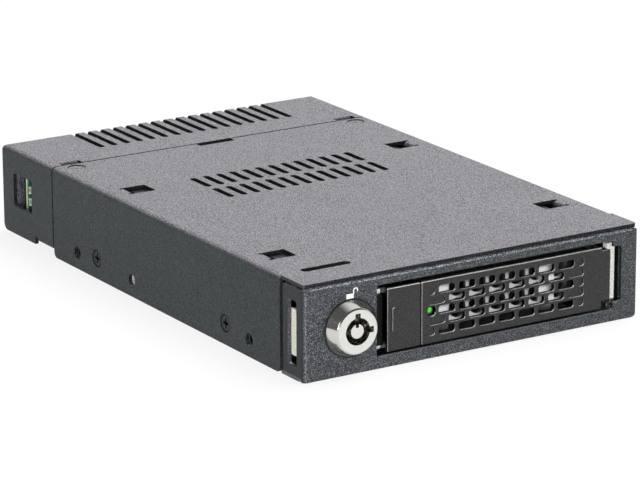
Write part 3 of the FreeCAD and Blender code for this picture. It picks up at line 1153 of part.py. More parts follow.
def eject_hook():
    """Bracket with two ears on the hinge pin and a web past the lever's end that has two lips."""
    ear_end = PIVOT_X - KNUCKLE_RADIUS
    web_face = DOOR_RIGHT + HOOK_SHEET
    points = [(ear_end, HOOK_BOTTOM), (web_face, HOOK_BOTTOM), (web_face, HOOK_TOP), (ear_end, HOOK_TOP)]
    hook = folded(points, HOOK_SHEET, in_xz(HOOK_FRONT), Y * (HOOK_REAR - HOOK_FRONT))
    web_plan = block(DOOR_RIGHT, web_face, HOOK_FRONT, HOOK_REAR, 0, BODY_HEIGHT)
    ear_plan = slot_prism(PIVOT, PIVOT + X * (web_face - PIVOT_X), 2 * KNUCKLE_RADIUS, Z * BODY_HEIGHT)
    hook = hook.common(web_plan.fuse(ear_plan)).cut(rod(PIN_RADIUS + RUNNING_GAP, PIVOT, Z, BODY_HEIGHT))

    lip_back = HOOK_FRONT + HOOK_LIP_DEPTH
    slot_bottom = OPENING_BOTTOM + HOOK_SLOT_RISE + HOOK_PANEL_GAP
    slot_top = OPENING_TOP - HOOK_SLOT_DROP - HOOK_PANEL_GAP
    strip = block(DOOR_RIGHT, web_face, HOOK_FRONT, lip_back, slot_bottom, slot_top)
    panel_room = block(OPENING_RIGHT - HOOK_PANEL_GAP, HALF_WIDTH, 0, PANEL_SHEET + HOOK_PANEL_GAP,
                       0, BODY_HEIGHT)
    lips = [rounded_block(DOOR_RIGHT - HOOK_LIP, web_face, HOOK_FRONT, lip_back,
                          bottom, top, Y, HOOK_LIP_RADIUS).cut(panel_room)
            for bottom, top in ((OPENING_BOTTOM + HOOK_OPENING_GAP, slot_bottom + HOOK_LIP_OVERLAP),
                                (slot_top - HOOK_LIP_OVERLAP, OPENING_TOP - HOOK_OPENING_GAP))]
    return joined(hook, strip, *lips)


def hinge_pin():
    return rod(PIN_RADIUS, PIVOT + Z * TRAY_FLOOR_HEIGHT, Z, TRAY_WALL_TOP - TRAY_FLOOR_HEIGHT)


# Backplane
def backplane_board():
    half = HALF_WIDTH - SHEET - BOARD_SIDE_GAP
    board = block(-half, half, BOARD_FRONT, BOARD_BACK, CHASSIS_REAR_STEP + SHEET + BOARD_BOTTOM_GAP,
                  COVER_UNDERSIDE - BOARD_TOP_GAP)
    hole = rod(BOARD_SCREW_RADIUS + SEAT_GAP, V(BOARD_TAB_X, 0, BOARD_SCREW_HEIGHT), Y, BODY_DEPTH)
    return board.cut(both_sides(hole))


def drive_socket():
    height = TRAY_FLOOR_TOP + DRIVE_SOCKET_RISE
    half = DRIVE_SOCKET_WIDTH / 2
    body = rounded_block(TRAY_CENTRE_X - half, TRAY_CENTRE_X + half, DRIVE_END, BOARD_FRONT,
                         height - DRIVE_SOCKET_HEIGHT / 2, height + DRIVE_SOCKET_HEIGHT / 2,
                         Y, SOCKET_CORNER)
    slot_half = DRIVE_SOCKET_SLOT_WIDTH / 2
    slot_top = height + DRIVE_SOCKET_SLOT_HEIGHT / 2
    slot = block(TRAY_CENTRE_X - slot_half, TRAY_CENTRE_X + slot_half, DRIVE_END - SHEET,
                 DRIVE_END + DRIVE_SOCKET_SLOT_DEPTH, height - DRIVE_SOCKET_SLOT_HEIGHT / 2, slot_top)
    key = block(TRAY_CENTRE_X + slot_half - DRIVE_SOCKET_KEY, TRAY_CENTRE_X + slot_half, DRIVE_END - SHEET,
                DRIVE_END + DRIVE_SOCKET_SLOT_DEPTH, height, slot_top + DRIVE_SOCKET_SLOT_HEIGHT / 2)
    return body.cut([slot, key])


def socket_tube(x, width, tall, wall, floor):
    """A four-sided tube that stands on the board's back and opens to the rear."""
    half_width = width / 2
    half_tall = tall / 2
    outer = rounded_block(x - half_width, x + half_width, BOARD_BACK, SOCKET_END,
                          SOCKET_HEIGHT - half_tall, SOCKET_HEIGHT + half_tall, Y, SOCKET_CORNER)
    inner = block(x - half_width + wall, x + half_width - wall, BOARD_BACK + floor, SOCKET_END + SHEET,
                  SOCKET_HEIGHT - half_tall + wall, SOCKET_HEIGHT + half_tall - wall)
    return outer.cut(inner)


def data_socket_shell():
    return socket_tube(DATA_SOCKET_X, DATA_SOCKET_WIDTH, DATA_SOCKET_TALL, DATA_SOCKET_SHELL, -SHEET)


def data_socket_core():
    half_width = DATA_SOCKET_WIDTH / 2 - DATA_SOCKET_SHELL
    half_tall = DATA_SOCKET_TALL / 2 - DATA_SOCKET_SHELL
    return block(DATA_SOCKET_X - half_width, DATA_SOCKET_X + half_width,
                 BOARD_BACK, BOARD_BACK + DATA_CORE_DEPTH,
                 SOCKET_HEIGHT - half_tall, SOCKET_HEIGHT + half_tall)


def power_socket():
    floor = SOCKET_END - BOARD_BACK - POWER_SOCKET_MOUTH
    tube = socket_tube(POWER_SOCKET_X, POWER_SOCKET_WIDTH, POWER_SOCKET_TALL, POWER_SOCKET_WALL, floor)
    half = POWER_SOCKET_WIDTH / 2 - POWER_SOCKET_WALL - POWER_BLADE_SIDE_GAP
    blade = block(POWER_SOCKET_X - half, POWER_SOCKET_X + half, BOARD_BACK, SOCKET_END - SHEET,
                  SOCKET_HEIGHT - POWER_BLADE_THICKNESS / 2, SOCKET_HEIGHT + POWER_BLADE_THICKNESS / 2)
    return joined(tube, blade)


def status_led():
    return rounded_block(PIPE_SIDE_X - LIGHT_WIDTH / 2, PIPE_SIDE_X + LIGHT_WIDTH / 2,
                         BOARD_FRONT - LIGHT_DEPTH, BOARD_FRONT,
                         PIPE_SIDE_HEIGHT - LIGHT_HEIGHT / 2, PIPE_SIDE_HEIGHT + LIGHT_HEIGHT / 2,
                         Y, LIGHT_DEPTH / 3)


def board_screw():
    start = V(BOARD_TAB_X, BOARD_FRONT - BOARD_SCREW_HEAD_HEIGHT, BOARD_SCREW_HEIGHT)
    head = rod(BOARD_SCREW_HEAD, start, Y, BOARD_SCREW_HEAD_HEIGHT)
    shank = rod(BOARD_SCREW_RADIUS, start, Y, BOARD_SCREW_HEAD_HEIGHT + BOARD_THICKNESS + 2 * SHEET)
    return joined(head, shank).cut(cross_recess(start, Y))


# Fastener groups
def side_screws():
    screws = []
    for point in SIDE_SCREW_POINTS:
        screws += both_sides(cover_screw(point, -X, SCREW_LENGTH))
    return Part.makeCompound(screws)


def top_screws():
    return Part.makeCompound(both_sides(cover_screw(TOP_SCREW_POINT, -Z, THROUGH * SHEET)))


def rear_screws():
    return Part.makeCompound(both_sides(cover_screw(REAR_SCREW_POINT, Z, THROUGH * SHEET)))


def rail_screws():
    screws = [countersunk_screw(point, Z, RAIL_SCREW_HEAD, RAIL_SCREW_RADIUS, RAIL_SCREW_LENGTH)
              for point in RAIL_SCREWS]
    return Part.makeCompound(screws)


def housing_screws():
    screws = []
    for point in housing_screw_points():
        head = countersunk_head(point, Z, HOUSING_SCREW_HEAD, HOUSING_SCREW_RADIUS)
        screws.append(joined(head, rod(HOUSING_SCREW_RADIUS, point, Z, HOUSING_SCREW_LENGTH)))
    return Part.makeCompound(screws)


left_guide_rail, right_guide_rail = guide_rails()
pieces = {
    "top_cover": top_cover(),
    "rear_cover": rear_cover(),
    "bottom_chassis": bottom_chassis(),
    "front_panel": front_panel(),
    "left_guide_rail": left_guide_rail,
    "right_guide_rail": right_guide_rail,
    "lock_barrel": lock_barrel(),
    "lock_gasket": lock_gasket(),
    "lock_clip": lock_clip(),
    "lock_core": lock_core(),
    "lock_cam": lock_cam(),
    "cam_screw": cam_screw(),
    "backplane_board": backplane_board(),
    "drive_socket": drive_socket(),
    "data_socket_shell": data_socket_shell(),
    "data_socket_core": data_socket_core(),
    "power_socket": power_socket(),
    "status_led": status_led(),
    "board_screws": Part.makeCompound(both_sides(board_screw())),
    "side_screws": side_screws(),
    "top_screws": top_screws(),
    "rear_screws": rear_screws(),
    "rail_screws": rail_screws(),
    "tray_frame": tray_frame(),
    "button_housing": button_housing(),
    "housing_screws": housing_screws(),
    "light_pipe": light_pipe(),
    "hinge_pin": hinge_pin(),
    "tray_door": tray_door(),
    "eject_hook": eject_hook(),
    "release_button": release_button(),
    "button_spring": button_spring(),
}

os.makedirs("parts", exist_ok=True)
for name, shape in pieces.items():
    shape.translate(V(0, FACE_DEPTH, 0))
    shape.exportStep(f"parts/{name}.step")
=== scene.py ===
import functools
import json
import math
import operator

import bmesh
import bpy
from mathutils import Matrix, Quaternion, Vector


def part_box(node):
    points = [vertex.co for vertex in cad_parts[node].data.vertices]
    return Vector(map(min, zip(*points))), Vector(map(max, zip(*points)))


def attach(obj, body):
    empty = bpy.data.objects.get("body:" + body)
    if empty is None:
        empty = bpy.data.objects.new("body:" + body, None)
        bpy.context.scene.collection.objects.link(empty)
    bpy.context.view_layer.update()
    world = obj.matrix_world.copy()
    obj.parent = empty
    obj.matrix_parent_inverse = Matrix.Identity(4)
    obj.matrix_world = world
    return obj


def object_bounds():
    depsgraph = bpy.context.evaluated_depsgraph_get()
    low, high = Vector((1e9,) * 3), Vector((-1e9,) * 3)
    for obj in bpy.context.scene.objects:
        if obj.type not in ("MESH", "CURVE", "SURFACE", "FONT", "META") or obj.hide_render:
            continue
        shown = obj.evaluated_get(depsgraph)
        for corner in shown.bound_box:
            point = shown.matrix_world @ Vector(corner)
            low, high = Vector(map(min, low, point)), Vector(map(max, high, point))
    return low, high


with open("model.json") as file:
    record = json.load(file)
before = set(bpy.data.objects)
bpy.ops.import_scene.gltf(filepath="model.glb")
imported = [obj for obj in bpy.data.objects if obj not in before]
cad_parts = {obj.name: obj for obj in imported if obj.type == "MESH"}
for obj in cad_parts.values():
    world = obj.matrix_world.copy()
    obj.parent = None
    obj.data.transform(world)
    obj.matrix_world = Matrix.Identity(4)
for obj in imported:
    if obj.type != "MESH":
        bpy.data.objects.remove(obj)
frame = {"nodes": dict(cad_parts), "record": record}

# Looks of a key-locked mobile rack for one small drive. Metres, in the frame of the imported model:
# X runs to the right seen from the front, Y to the back and Z up.

MM = 0.001
cad_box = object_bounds()
nodes = frame["nodes"]
mounts = {mount["name"]: mount for mount in frame["record"]["mounts"]}

# Camera
CAMERA_AIM = Vector((0.00036, -0.00431, 0.01046))
CAMERA_AZIMUTH = math.radians(-32.004)
CAMERA_ELEVATION = math.radians(16.555)
CAMERA_ROLL = math.radians(-0.222)
CAMERA_DISTANCE = 0.99668
CAMERA_LENS = 209.47
CAMERA_SENSOR = 36.0
CAMERA_REACH = 20.0

# Stage and light
WHITE = (1.0, 1.0, 1.0, 1.0)
AMBIENT = 0.04
ROOM_DIM = 0.12
SWEEP = Vector((0.42, 0.8, 0.43))
SWEEP_START = 0.35
SWEEP_FULL = 0.72
FLOOR_SIZE = 3.0
FLOOR_GLOW = 0.84
FLOOR_WHITE = 0.42
# Name, place, size, watts, and whether bright metal mirrors it
SOFT_BOXES = (
    ("top_soft_box", (0.45, 0.0, 1.25), (1.1, 1.1), 19.0, False),
    ("front_soft_box", (-0.3, -0.48, 0.07), (0.2, 0.2), 3.1, False),
    ("left_soft_box", (-1.4, -0.6, 0.45), (0.8, 0.8), 8.0, True),
    ("left_card", (-1.6, 1.0, 0.28), (0.5, 0.25), 0.4, True),
    ("rear_soft_box", (0.9, 1.4, 0.75), (1.6, 0.9), 8.6, True),
)

# Colours, linear
COAT_GREY = (0.121, 0.118, 0.133)
PANEL_GREY = (0.042, 0.045, 0.049)
# Painted shade: the darker paint of the sides, for the light that falls less on them
SIDE_SHADE_GREY = (0.019, 0.027, 0.029)
MOULDING_BLACK = (0.018, 0.018, 0.0175)
ZINC = (0.84, 0.87, 0.89)
BRIGHT_STEEL = (0.66, 0.67, 0.68)
CHROME = (0.62, 0.615, 0.58)
SATIN_FACE = (0.75, 0.75, 0.715)
BLACKENED_STEEL = (0.022, 0.022, 0.023)
RUBBER_BLACK = (0.012, 0.012, 0.012)
BOARD_GREEN = (0.02, 0.14, 0.08)
BOARD_CORE = (0.7, 0.66, 0.46)
PRINT_WHITE = (0.95, 0.95, 0.95)
LIGHT_GREEN = (0.035, 0.5, 0.008)
LENS_DEEP = (0.3, 0.75, 0.28)
LENS_PALE = (0.45, 0.9, 0.4)
ROD_CLEAR = (0.75, 0.86, 0.76)
# Painted shade: the clear rod's front end round its glow
PIPE_SHADE = (0.004, 0.012, 0.004)
UNLIT = (0.0, 0.0, 0.0)
GOLD = (0.83, 0.6, 0.22)
IVORY = (0.9, 0.89, 0.78)
HOOK_SILVER = (0.8, 0.79, 0.74)
# Painted shade: the near-black put on hollows, gaps and shaded spots
SHADE_BLACK = (0.003, 0.003, 0.003)
# Painted highlight: the pale edges of the door and button
EDGE_HIGHLIGHT_GREY = (0.95, 0.95, 0.92)
KEYWAY_BROWN = (0.1, 0.09, 0.077)
CERAMIC_TAN = (0.5, 0.45, 0.36)
TIN = (0.88, 0.88, 0.86)
FLAP_GREY = (0.035, 0.042, 0.044)

# Grain of the finishes: patch sizes, the stretch along the rolling, and the ramps' ends
COAT_CLOUD = 14 * MM
PLASTIC_CLOUD = 9 * MM
METAL_CLOUD = 5 * MM
ROLLING = (1.0, 0.06, 1.0)
PATCHES = (0.3, 0.7)
FACING_SIDE = (0.6, 0.95)
SCREW_SKIN = (0.35, 0.65)
BEVEL_SAMPLES = 6
GRAIN_ROUGHNESS = 0.55

# Zones of the finishes
CUT_MARGIN = 1.3 * MM
BEND_MARGIN = 2.2 * MM
TAB_START = 42.4 * MM
TONGUE_EDGE = 1.05 * MM
HOOK_SHADED_FOOT = 2.3 * MM
SCREW_SHADE_RIM = 0.3 * MM
SCREW_FACE = 0.12 * MM
# Depth from the front over which edges get painted highlights
EDGE_HIGHLIGHT_DEPTH = 0.7 * MM
RIB_PITCH = 0.55 * MM
EAR_WIDTH = 3.0 * MM
EAR_DEPTH = 6.0 * MM
# Middle and half width of the tray's posts, kept bright as lit while the metal beside them gets painted
# shade, from the door's left end
LIT_POSTS = ((9.0 * MM, 1.6 * MM), (40.6 * MM, 2.6 * MM))
BAY_HOLE_EDGES = (1.36 * MM, 1.9 * MM, 1.36 * MM)
LIT_LAMINATE_DEPTH = 0.8 * MM
TRACK_SCALE = 260.0
PIPE_RADIUS = 0.9 * MM
PIPE_LIT_LENGTH = 4 * MM
PIPE_GLOW_SIDE = 0.25 * MM
PIPE_GLOW_LIFT = 0.25 * MM
PIPE_GLOW_CORE = 0.55 * MM
PIPE_GLOW_EDGE = 0.85 * MM
KEYWAY_EDGE = 4.7 * MM
KEYWAY_RIM = 0.36 * MM

# Padlock sign
SIGN_LEFT, SIGN_RIGHT = -38.3 * MM, -36.2 * MM
SIGN_LOW, SIGN_HIGH = 19.6 * MM, 21.2 * MM
SHACKLE_BAR = 0.3 * MM
SHACKLE_REACH = 0.72 * MM
SHACKLE_LIFT = 21.9 * MM
SHACKLE_STEPS = 12
SIGN_INK = 0.03 * MM

# Flaps under the top cover's windows
COVER_SHEET = 1.0 * MM
FLAP_DEPTH = 1.3 * MM
FLAP_SHEET = 0.4 * MM
FLAP_STRIP = 1.0 * MM
FLAP_EDGE = 0.05 * MM
FLAP_INNER_LEFT = 34.5 * MM
FLAP_INNER_RIGHT = 37.0 * MM
FLAP_OUTER = 42.2 * MM
WINDOW_MIDDLES = (-51.9 * MM, 19.4 * MM)
WINDOW_HALF = 3.2 * MM

# Parts on the board
CHIP_HEIGHT = 1.4 * MM
CHIP_LIFT = 0.15 * MM
CHIP_EDGE = 0.15 * MM
LEG_PITCH = 1.0 * MM
LEG_WIDTH = 0.45 * MM
LEG_THICKNESS = 0.16 * MM
LEG_ROOT = 0.05 * MM
LEG_REACHES = (0.4 * MM, 0.6 * MM, 1.1 * MM)
# Middle across and up, half width and half height in mm, and legs on each side
BOARD_CHIPS = ((-33.0, 12.0, 3.0, 3.4, 6), (0.5, 17.3, 2.0, 2.5, 4), (35.2, 17.2, 2.0, 2.5, 4))
CAPACITOR_WIDTH = 1.25 * MM
CAPACITOR_LENGTH = 2.1 * MM
CAPACITOR_HEIGHT = 0.9 * MM
CAPACITOR_INSET = Vector((0.04 * MM, 0.04 * MM, 0.1 * MM))
CAPACITOR_FAR_INSET = 0.9
CAPACITOR_EDGE = 0.06 * MM
CAPACITOR_END = 0.5 * MM
CAPACITOR_END_EDGE = 0.08 * MM
# Middles across and up, in mm
BOARD_CAPACITORS = (
    (-47.1, 13.75), (-47.1, 10.4), (-44.4, 16.4), (-40.6, 14.8), (-38.6, 19.4),
    (-35.0, 19.4), (-24.0, 17.6), (-20.6, 15.2), (-10.4, 18.0), (8.0, 18.0),
    (12.4, 15.4), (24.0, 18.6), (30.4, 15.2), (42.0, 17.4), (45.4, 17.4),
)

# Contacts of the sockets
CONTACT_PITCH = 1.27 * MM
DRIVE_SLOT_HALF = 1.0 * MM
DRIVE_CONTACT_INSET = 3.3 * MM
DRIVE_CONTACT_PLACES = (*range(7), *range(11, 26))
DRIVE_CONTACT_WIDTH = 0.62 * MM
DRIVE_CONTACT_THICKNESS = 0.12 * MM
# Depth behind the socket's front and drop from the slot's roof, in mm
DRIVE_CONTACT_PATH = ((6.3, 0.12), (3.2, 0.16), (1.9, 0.6), (1.3, 0.66), (0.7, 0.3))
DATA_PIN_COUNT = 10
DATA_PIN_PITCH = 2.0 * MM
DATA_PIN_LENGTH = 4.6 * MM
DATA_PIN_SIZE = 0.5 * MM
DATA_PIN_ROOT = 0.2 * MM
DATA_PIN_EDGE = 0.1 * MM
POWER_BLADE_HALF = 0.6 * MM
POWER_CONTACT_COUNT = 15
POWER_CONTACT_START = 2.4 * MM
POWER_CONTACT_END = 2.2 * MM
POWER_CONTACT_TIP = 1.7 * MM
POWER_CONTACT_LIFT = 0.02 * MM
POWER_CONTACT_DIP = 0.05 * MM
POWER_CONTACT_WIDTH = 0.84 * MM
POWER_CONTACT_THICKNESS = 0.1 * MM


class Value:
    """One output of a shader node. Arithmetic on it adds Math nodes."""

    def __init__(self, finish, socket):
        self.finish = finish
        self.socket = socket

    def math(self, operation, *operands):
        return self.finish.node("ShaderNodeMath", {"operation": operation}, dict(enumerate(operands)))

    def __add__(self, other):
        return self.math("ADD", self, other)

    def __sub__(self, other):
        return self.math("SUBTRACT", self, other)

    def __rsub__(self, other):
        return self.math("SUBTRACT", other, self)

    def __mul__(self, other):
        return self.math("MULTIPLY", self, other)

    def __gt__(self, other):
        return self.math("GREATER_THAN", self, other)

    def __lt__(self, other):
        return self.math("LESS_THAN", self, other)

    def __or__(self, other):
        return self.math("MAXIMUM", self, other)

    def __pow__(self, other):
        return self.math("POWER", self, other)

    def __abs__(self):
        return self.math("ABSOLUTE", self)

    __radd__ = __add__
    __rmul__ = __mul__
    __ror__ = __or__


def any_of(masks):
    """1 where at least one of the masks is 1."""
    return functools.reduce(operator.or_, masks)


class Shading:
    """A node tree that is filled from Python."""

    def __init__(self, tree):
        self.tree = tree
        tree.nodes.clear()

    def node(self, kind, settings=None, sockets=None, output=0):
        """Adds a node, with its settings first and then the values or links of its sockets."""
        node = self.tree.nodes.new(kind)
        for name, value in (settings or {}).items():
            setattr(node, name, value)
        for name, value in (sockets or {}).items():
            if isinstance(value, Value):
                self.tree.links.new(value.socket, node.inputs[name])
            elif value is not None:
                node.inputs[name].default_value = value
        return Value(self, node.outputs[output] if node.outputs else None)

    def rays(self, *names):
        """1 for rays of any of the named kinds."""
        return any_of([self.node("ShaderNodeLightPath", output=name) for name in names])


def shade(colour, level):
    """A colour that is lighter or darker by a factor, up to full."""
    return tuple(min(1.0, part * level) for part in colour)


class Finish(Shading):
    """A material with one Principled shader, in the coordinates of the piece."""

    def __init__(self, name):
        self.material = bpy.data.materials.new(name)
        self.material.use_nodes = True
        super().__init__(self.material.node_tree)
        self.place = self.node("ShaderNodeTexCoord", output="Object")

    def axis(self, name, of=None):
        return self.node("ShaderNodeSeparateXYZ", sockets={0: of or self.place}, output=name)

    def normal_axis(self, name):
        return self.axis(name, self.node("ShaderNodeTexCoord", output="Normal"))

    def within(self, first, second, radius):
        """1 inside a circle round the place where both offsets are 0."""
        return first * first + second * second < radius ** 2

    def noise(self, size, detail=2.0, stretch=None):
        """Noise of about 0 to 1, with patches of the given size."""
        place = self.place
        if stretch:
            place = self.node("ShaderNodeVectorMath", {"operation": "MULTIPLY"}, {0: place, 1: stretch})
        return self.node("ShaderNodeTexNoise", {"noise_dimensions": "3D"},
                         {"Vector": place, "Scale": 1 / size, "Detail": detail,
                          "Roughness": GRAIN_ROUGHNESS})

    def ramp(self, value, low, high):
        """0 below one end and 1 above the other, straight between."""
        return self.node("ShaderNodeMapRange", {"clamp": True},
                         {"Value": value, "From Min": low, "From Max": high})

    def mix(self, share, first, second):
        first, second = (c if isinstance(c, Value) else (*c, 1.0) for c in (first, second))
        return self.node("ShaderNodeMix", {"data_type": "RGBA"}, {0: share, 6: first, 7: second}, output=2)

    def tones(self, share, colour, dark, light):
        """One colour between two levels of itself."""
        return self.mix(share, shade(colour, dark), shade(colour, light))

    def bump(self, height, depth, strength, edge=None):
        """A relief of the given depth, over edges that are rounded where a radius is given."""
        rounded = edge and self.node("ShaderNodeBevel", {"samples": BEVEL_SAMPLES}, {"Radius": edge})
        return self.node("ShaderNodeBump", sockets={"Height": height, "Distance": depth,
                                                    "Strength": strength, "Normal": rounded})

    def shader(self, **sockets):
        """Ends the material. The names of the sockets have _ for a space."""
        named = {name.replace("_", " "): value for name, value in sockets.items()}
        surface = self.node("ShaderNodeBsdfPrincipled", sockets=named)
        self.node("ShaderNodeOutputMaterial", sockets={"Surface": surface})
        return self.material


# Finishes
def powder(finish, colour, grain, depth, flecks):
    """The pebbled skin of baked paint, and its colour with dark pits and light flecks."""
    skin = finish.noise(grain, detail=1.0)
    sparks = finish.noise(0.8 * grain, detail=0.0)
    paint = finish.tones(finish.ramp(skin, 0.38, 0.62), colour, 1 - depth, 1 + depth)
    return skin, finish.mix(finish.ramp(sparks, 0.58, 0.7) * flecks, paint, shade(colour, 5.0))


def cover_paint(high, tab_end):
    """Paint of the covers, with painted shade: darker on the sides, and nearly black on cut edges and in
    countersinks.
    """
    finish = Finish("cover_coat")
    skin, paint = powder(finish, COAT_GREY, grain=0.3 * MM, depth=0.95, flecks=0.6)
    # Painted shade: the sides get a darker paint than the top, for the light that falls less on them
    thin = finish.tones(finish.ramp(skin, 0.4, 0.6), SIDE_SHADE_GREY, 0.05, 1.95)
    across, along, up = (finish.axis(name) for name in "XYZ")
    aside, ahead, above = (abs(finish.normal_axis(name)) for name in "XYZ")
    side = finish.ramp(aside, *FACING_SIDE)
    between_walls = abs(across) < high.x - CUT_MARGIN
    slot_end = finish.ramp(ahead, 0.6, 0.9) * (along < high.y - CUT_MARGIN)
    side_bend = (abs(across) > high.x - BEND_MARGIN) * (up > high.z - BEND_MARGIN)
    bend = side_bend | (along > high.y - BEND_MARGIN)
    sink = finish.ramp(any_of([aside, ahead, above]), 0.95, 0.8) * (1 - bend)
    tabs = (abs(across) > TAB_START) * between_walls * (along < tab_end)
    # Painted shade: cut edges, slot ends and countersinks are painted nearly black, half as much on the
    # tabs
    cut = (side * between_walls | sink) * (1 - 0.5 * tabs) | slot_end
    cloud = finish.noise(COAT_CLOUD)
    return finish.shader(
        Base_Color=finish.mix(cut * 0.9, finish.mix(side, paint, thin), SHADE_BLACK),
        Roughness=0.4 + 0.1 * cloud + 0.4 * cut,
        Specular_IOR_Level=0.31,
        Normal=finish.bump(skin, depth=0.6 * MM, strength=0.9, edge=0.12 * MM))


def panel_paint():
    """Paint of the front panel, with painted highlights along its bends, and painted shade that darkens
    the side flanges.
    """
    finish = Finish("panel_coat")
    skin, paint = powder(finish, PANEL_GREY, grain=0.26 * MM, depth=0.95, flecks=1.0)
    to_right = finish.normal_axis("X")
    side = finish.ramp(abs(to_right), *FACING_SIDE)
    # Painted highlight: pale specks along the top and left bends
    top_bend = finish.ramp(finish.normal_axis("Z"), 0.45, 0.6)
    left_bend = finish.ramp(to_right, -0.12, -0.25) * finish.ramp(to_right, -0.55, -0.4)
    bend_highlights = finish.ramp(finish.noise(0.3 * MM, detail=0.0), 0.48, 0.62)
    paint = finish.mix((top_bend * 0.5 | left_bend * 0.2) * bend_highlights, paint, shade(PANEL_GREY, 20.0))
    cloud = finish.noise(COAT_CLOUD)
    return finish.shader(
        # Painted shade: the side flanges get the darker paint of the sides
        Base_Color=finish.mix(side, paint, shade(SIDE_SHADE_GREY, 0.6)),
        Roughness=0.4 + 0.1 * cloud,
        Specular_IOR_Level=0.3,
        Normal=finish.bump(skin, depth=0.45 * MM, strength=0.9, edge=0.1 * MM))


def moulding(name, colour, roughness, edge, gloss=0.5):
    """Satin plastic with a spark-eroded skin."""
    finish = Finish(name)
    skin = finish.noise(0.16 * MM, detail=1.0)
    cloud = finish.noise(PLASTIC_CLOUD, detail=3.0)
    return finish.shader(
        Base_Color=finish.tones(finish.ramp(cloud, *PATCHES), colour, 0.85, 1.15),
        Roughness=roughness - 0.04 + 0.08 * cloud,
        Specular_IOR_Level=gloss,
        Normal=finish.bump(skin, depth=0.02 * MM, strength=0.5, edge=edge))


def edge_highlit_moulding(name, colour, front, depth):
    """The same plastic with painted highlights on its top and left edges near the front, and painted
    shade, black, in the gap on its left.
    """
    finish = Finish(name)
    skin = finish.noise(0.22 * MM, detail=1.0)
    cloud = finish.noise(PLASTIC_CLOUD, detail=3.0)
    along = finish.axis("Y")
    to_right = finish.normal_axis("X")
    to_top = finish.normal_axis("Z")
    # Painted highlight: top and left-facing edges near the front are painted pale
    upper = finish.ramp(to_top, 0.1, 0.4) * finish.ramp(along, front + depth, front + 0.5 * depth)
    left = finish.ramp(to_right, -0.1, -0.4) * finish.ramp(along, front + 0.3 * depth, front)
    # Painted shade: left-facing walls further in are painted black
    gap = finish.ramp(to_right, -0.3, -0.6) * finish.ramp(along, front + 0.3 * depth, front + 0.5 * depth)
    edge_highlights = (upper | left * 0.37) * finish.ramp(skin, 0.2, 0.6)
    plastic = finish.tones(finish.ramp(cloud, *PATCHES), colour, 1.7, 2.15)
    plastic = finish.mix(finish.ramp(skin, 0.36, 0.64), shade(colour, 0.3), plastic)
    plastic = finish.mix(gap, plastic, SHADE_BLACK)
    return finish.shader(
        Base_Color=finish.mix(edge_highlights, plastic, EDGE_HIGHLIGHT_GREY),
        Metallic=gap,
        Roughness=0.38 + 0.08 * cloud,
        Specular_IOR_Level=0.42,
        Normal=finish.bump(skin, depth=0.08 * MM, strength=0.6, edge=0.15 * MM))


def ribbed_moulding(name, colour, pitch):
    """Pale plastic with fine level ribs."""
    finish = Finish(name)
    turn = finish.axis("Z") * (2 * math.pi / pitch)
    ribs = turn.math("SINE", turn)
    cloud = finish.noise(0.8 * MM, detail=3.0)
    plastic = finish.tones(finish.ramp(cloud, *PATCHES), colour, 0.9, 1.1)
    return finish.shader(
        # Painted shade: the troughs between the ribs are painted darker
        Base_Color=finish.mix(finish.ramp(ribs, -0.2, -0.8), plastic, shade(colour, 0.75)),
        Roughness=0.35 + 0.1 * cloud,
        Coat_Weight=1.0,
        Normal=finish.bump(ribs, depth=0.08 * MM, strength=0.6, edge=0.2 * MM))


def stippled_plate(name, colour, foot):
    """Bright plated strip with a fine dotted surface and a foot painted black as shade."""
    finish = Finish(name)
    dots = finish.noise(0.35 * MM, detail=1.0)
    plate = finish.tones(finish.ramp(dots, 0.35, 0.6), colour, 0.6, 1.15)
    # Painted shade: below the given height the strip is painted black, with a few grey specks
    black = finish.mix(finish.ramp(dots, 0.55, 0.7), SHADE_BLACK, shade(colour, 0.5))
    return finish.shader(
        Base_Color=finish.mix(finish.axis("Z") < foot, plate, black),
        Metallic=0.4,
        Roughness=0.4 + 0.15 * dots,
        Normal=finish.bump(dots, depth=0.12 * MM, strength=0.6, edge=0.15 * MM))


def plated_sheet(name, colour, roughness, metal=1.0):
    """Bright plated metal with rolling streaks."""
    finish = Finish(name)
    streaks = finish.noise(0.5 * MM, detail=3.0, stretch=ROLLING)
    cloud = finish.noise(METAL_CLOUD)
    return finish.shader(
        Base_Color=finish.tones(finish.ramp(cloud, *PATCHES), colour, 0.9, 1.08),
        Metallic=metal,
        Roughness=roughness - 0.06 + 0.12 * streaks,
        Normal=finish.bump(streaks, depth=0.01 * MM, strength=0.4, edge=0.12 * MM))


def screw_steel(name, axis, recess):
    """Blackened screw heads with bare metal in the recess, whose brightness is set per screw kind, partly
    as painted highlight.
    """
    finish = Finish(name)
    head = finish.ramp(abs(finish.normal_axis(axis)), 0.75, 0.9)
    skin = finish.noise(0.3 * MM, detail=1.0)
    black = finish.tones(finish.ramp(skin, *SCREW_SKIN), BLACKENED_STEEL, 0.5, 1.5)
    return finish.shader(
        # The recess shows bare metal at a level set per screw kind; its brightness is partly a painted
        # highlight
        Base_Color=finish.mix(head, shade(TIN, recess), black),
        Metallic=0.6 - 0.6 * head,
        Roughness=0.35 + 0.1 * skin,
        Specular_IOR_Level=0.3,
        Normal=finish.bump(skin, depth=0.05 * MM, strength=0.4, edge=0.1 * MM))


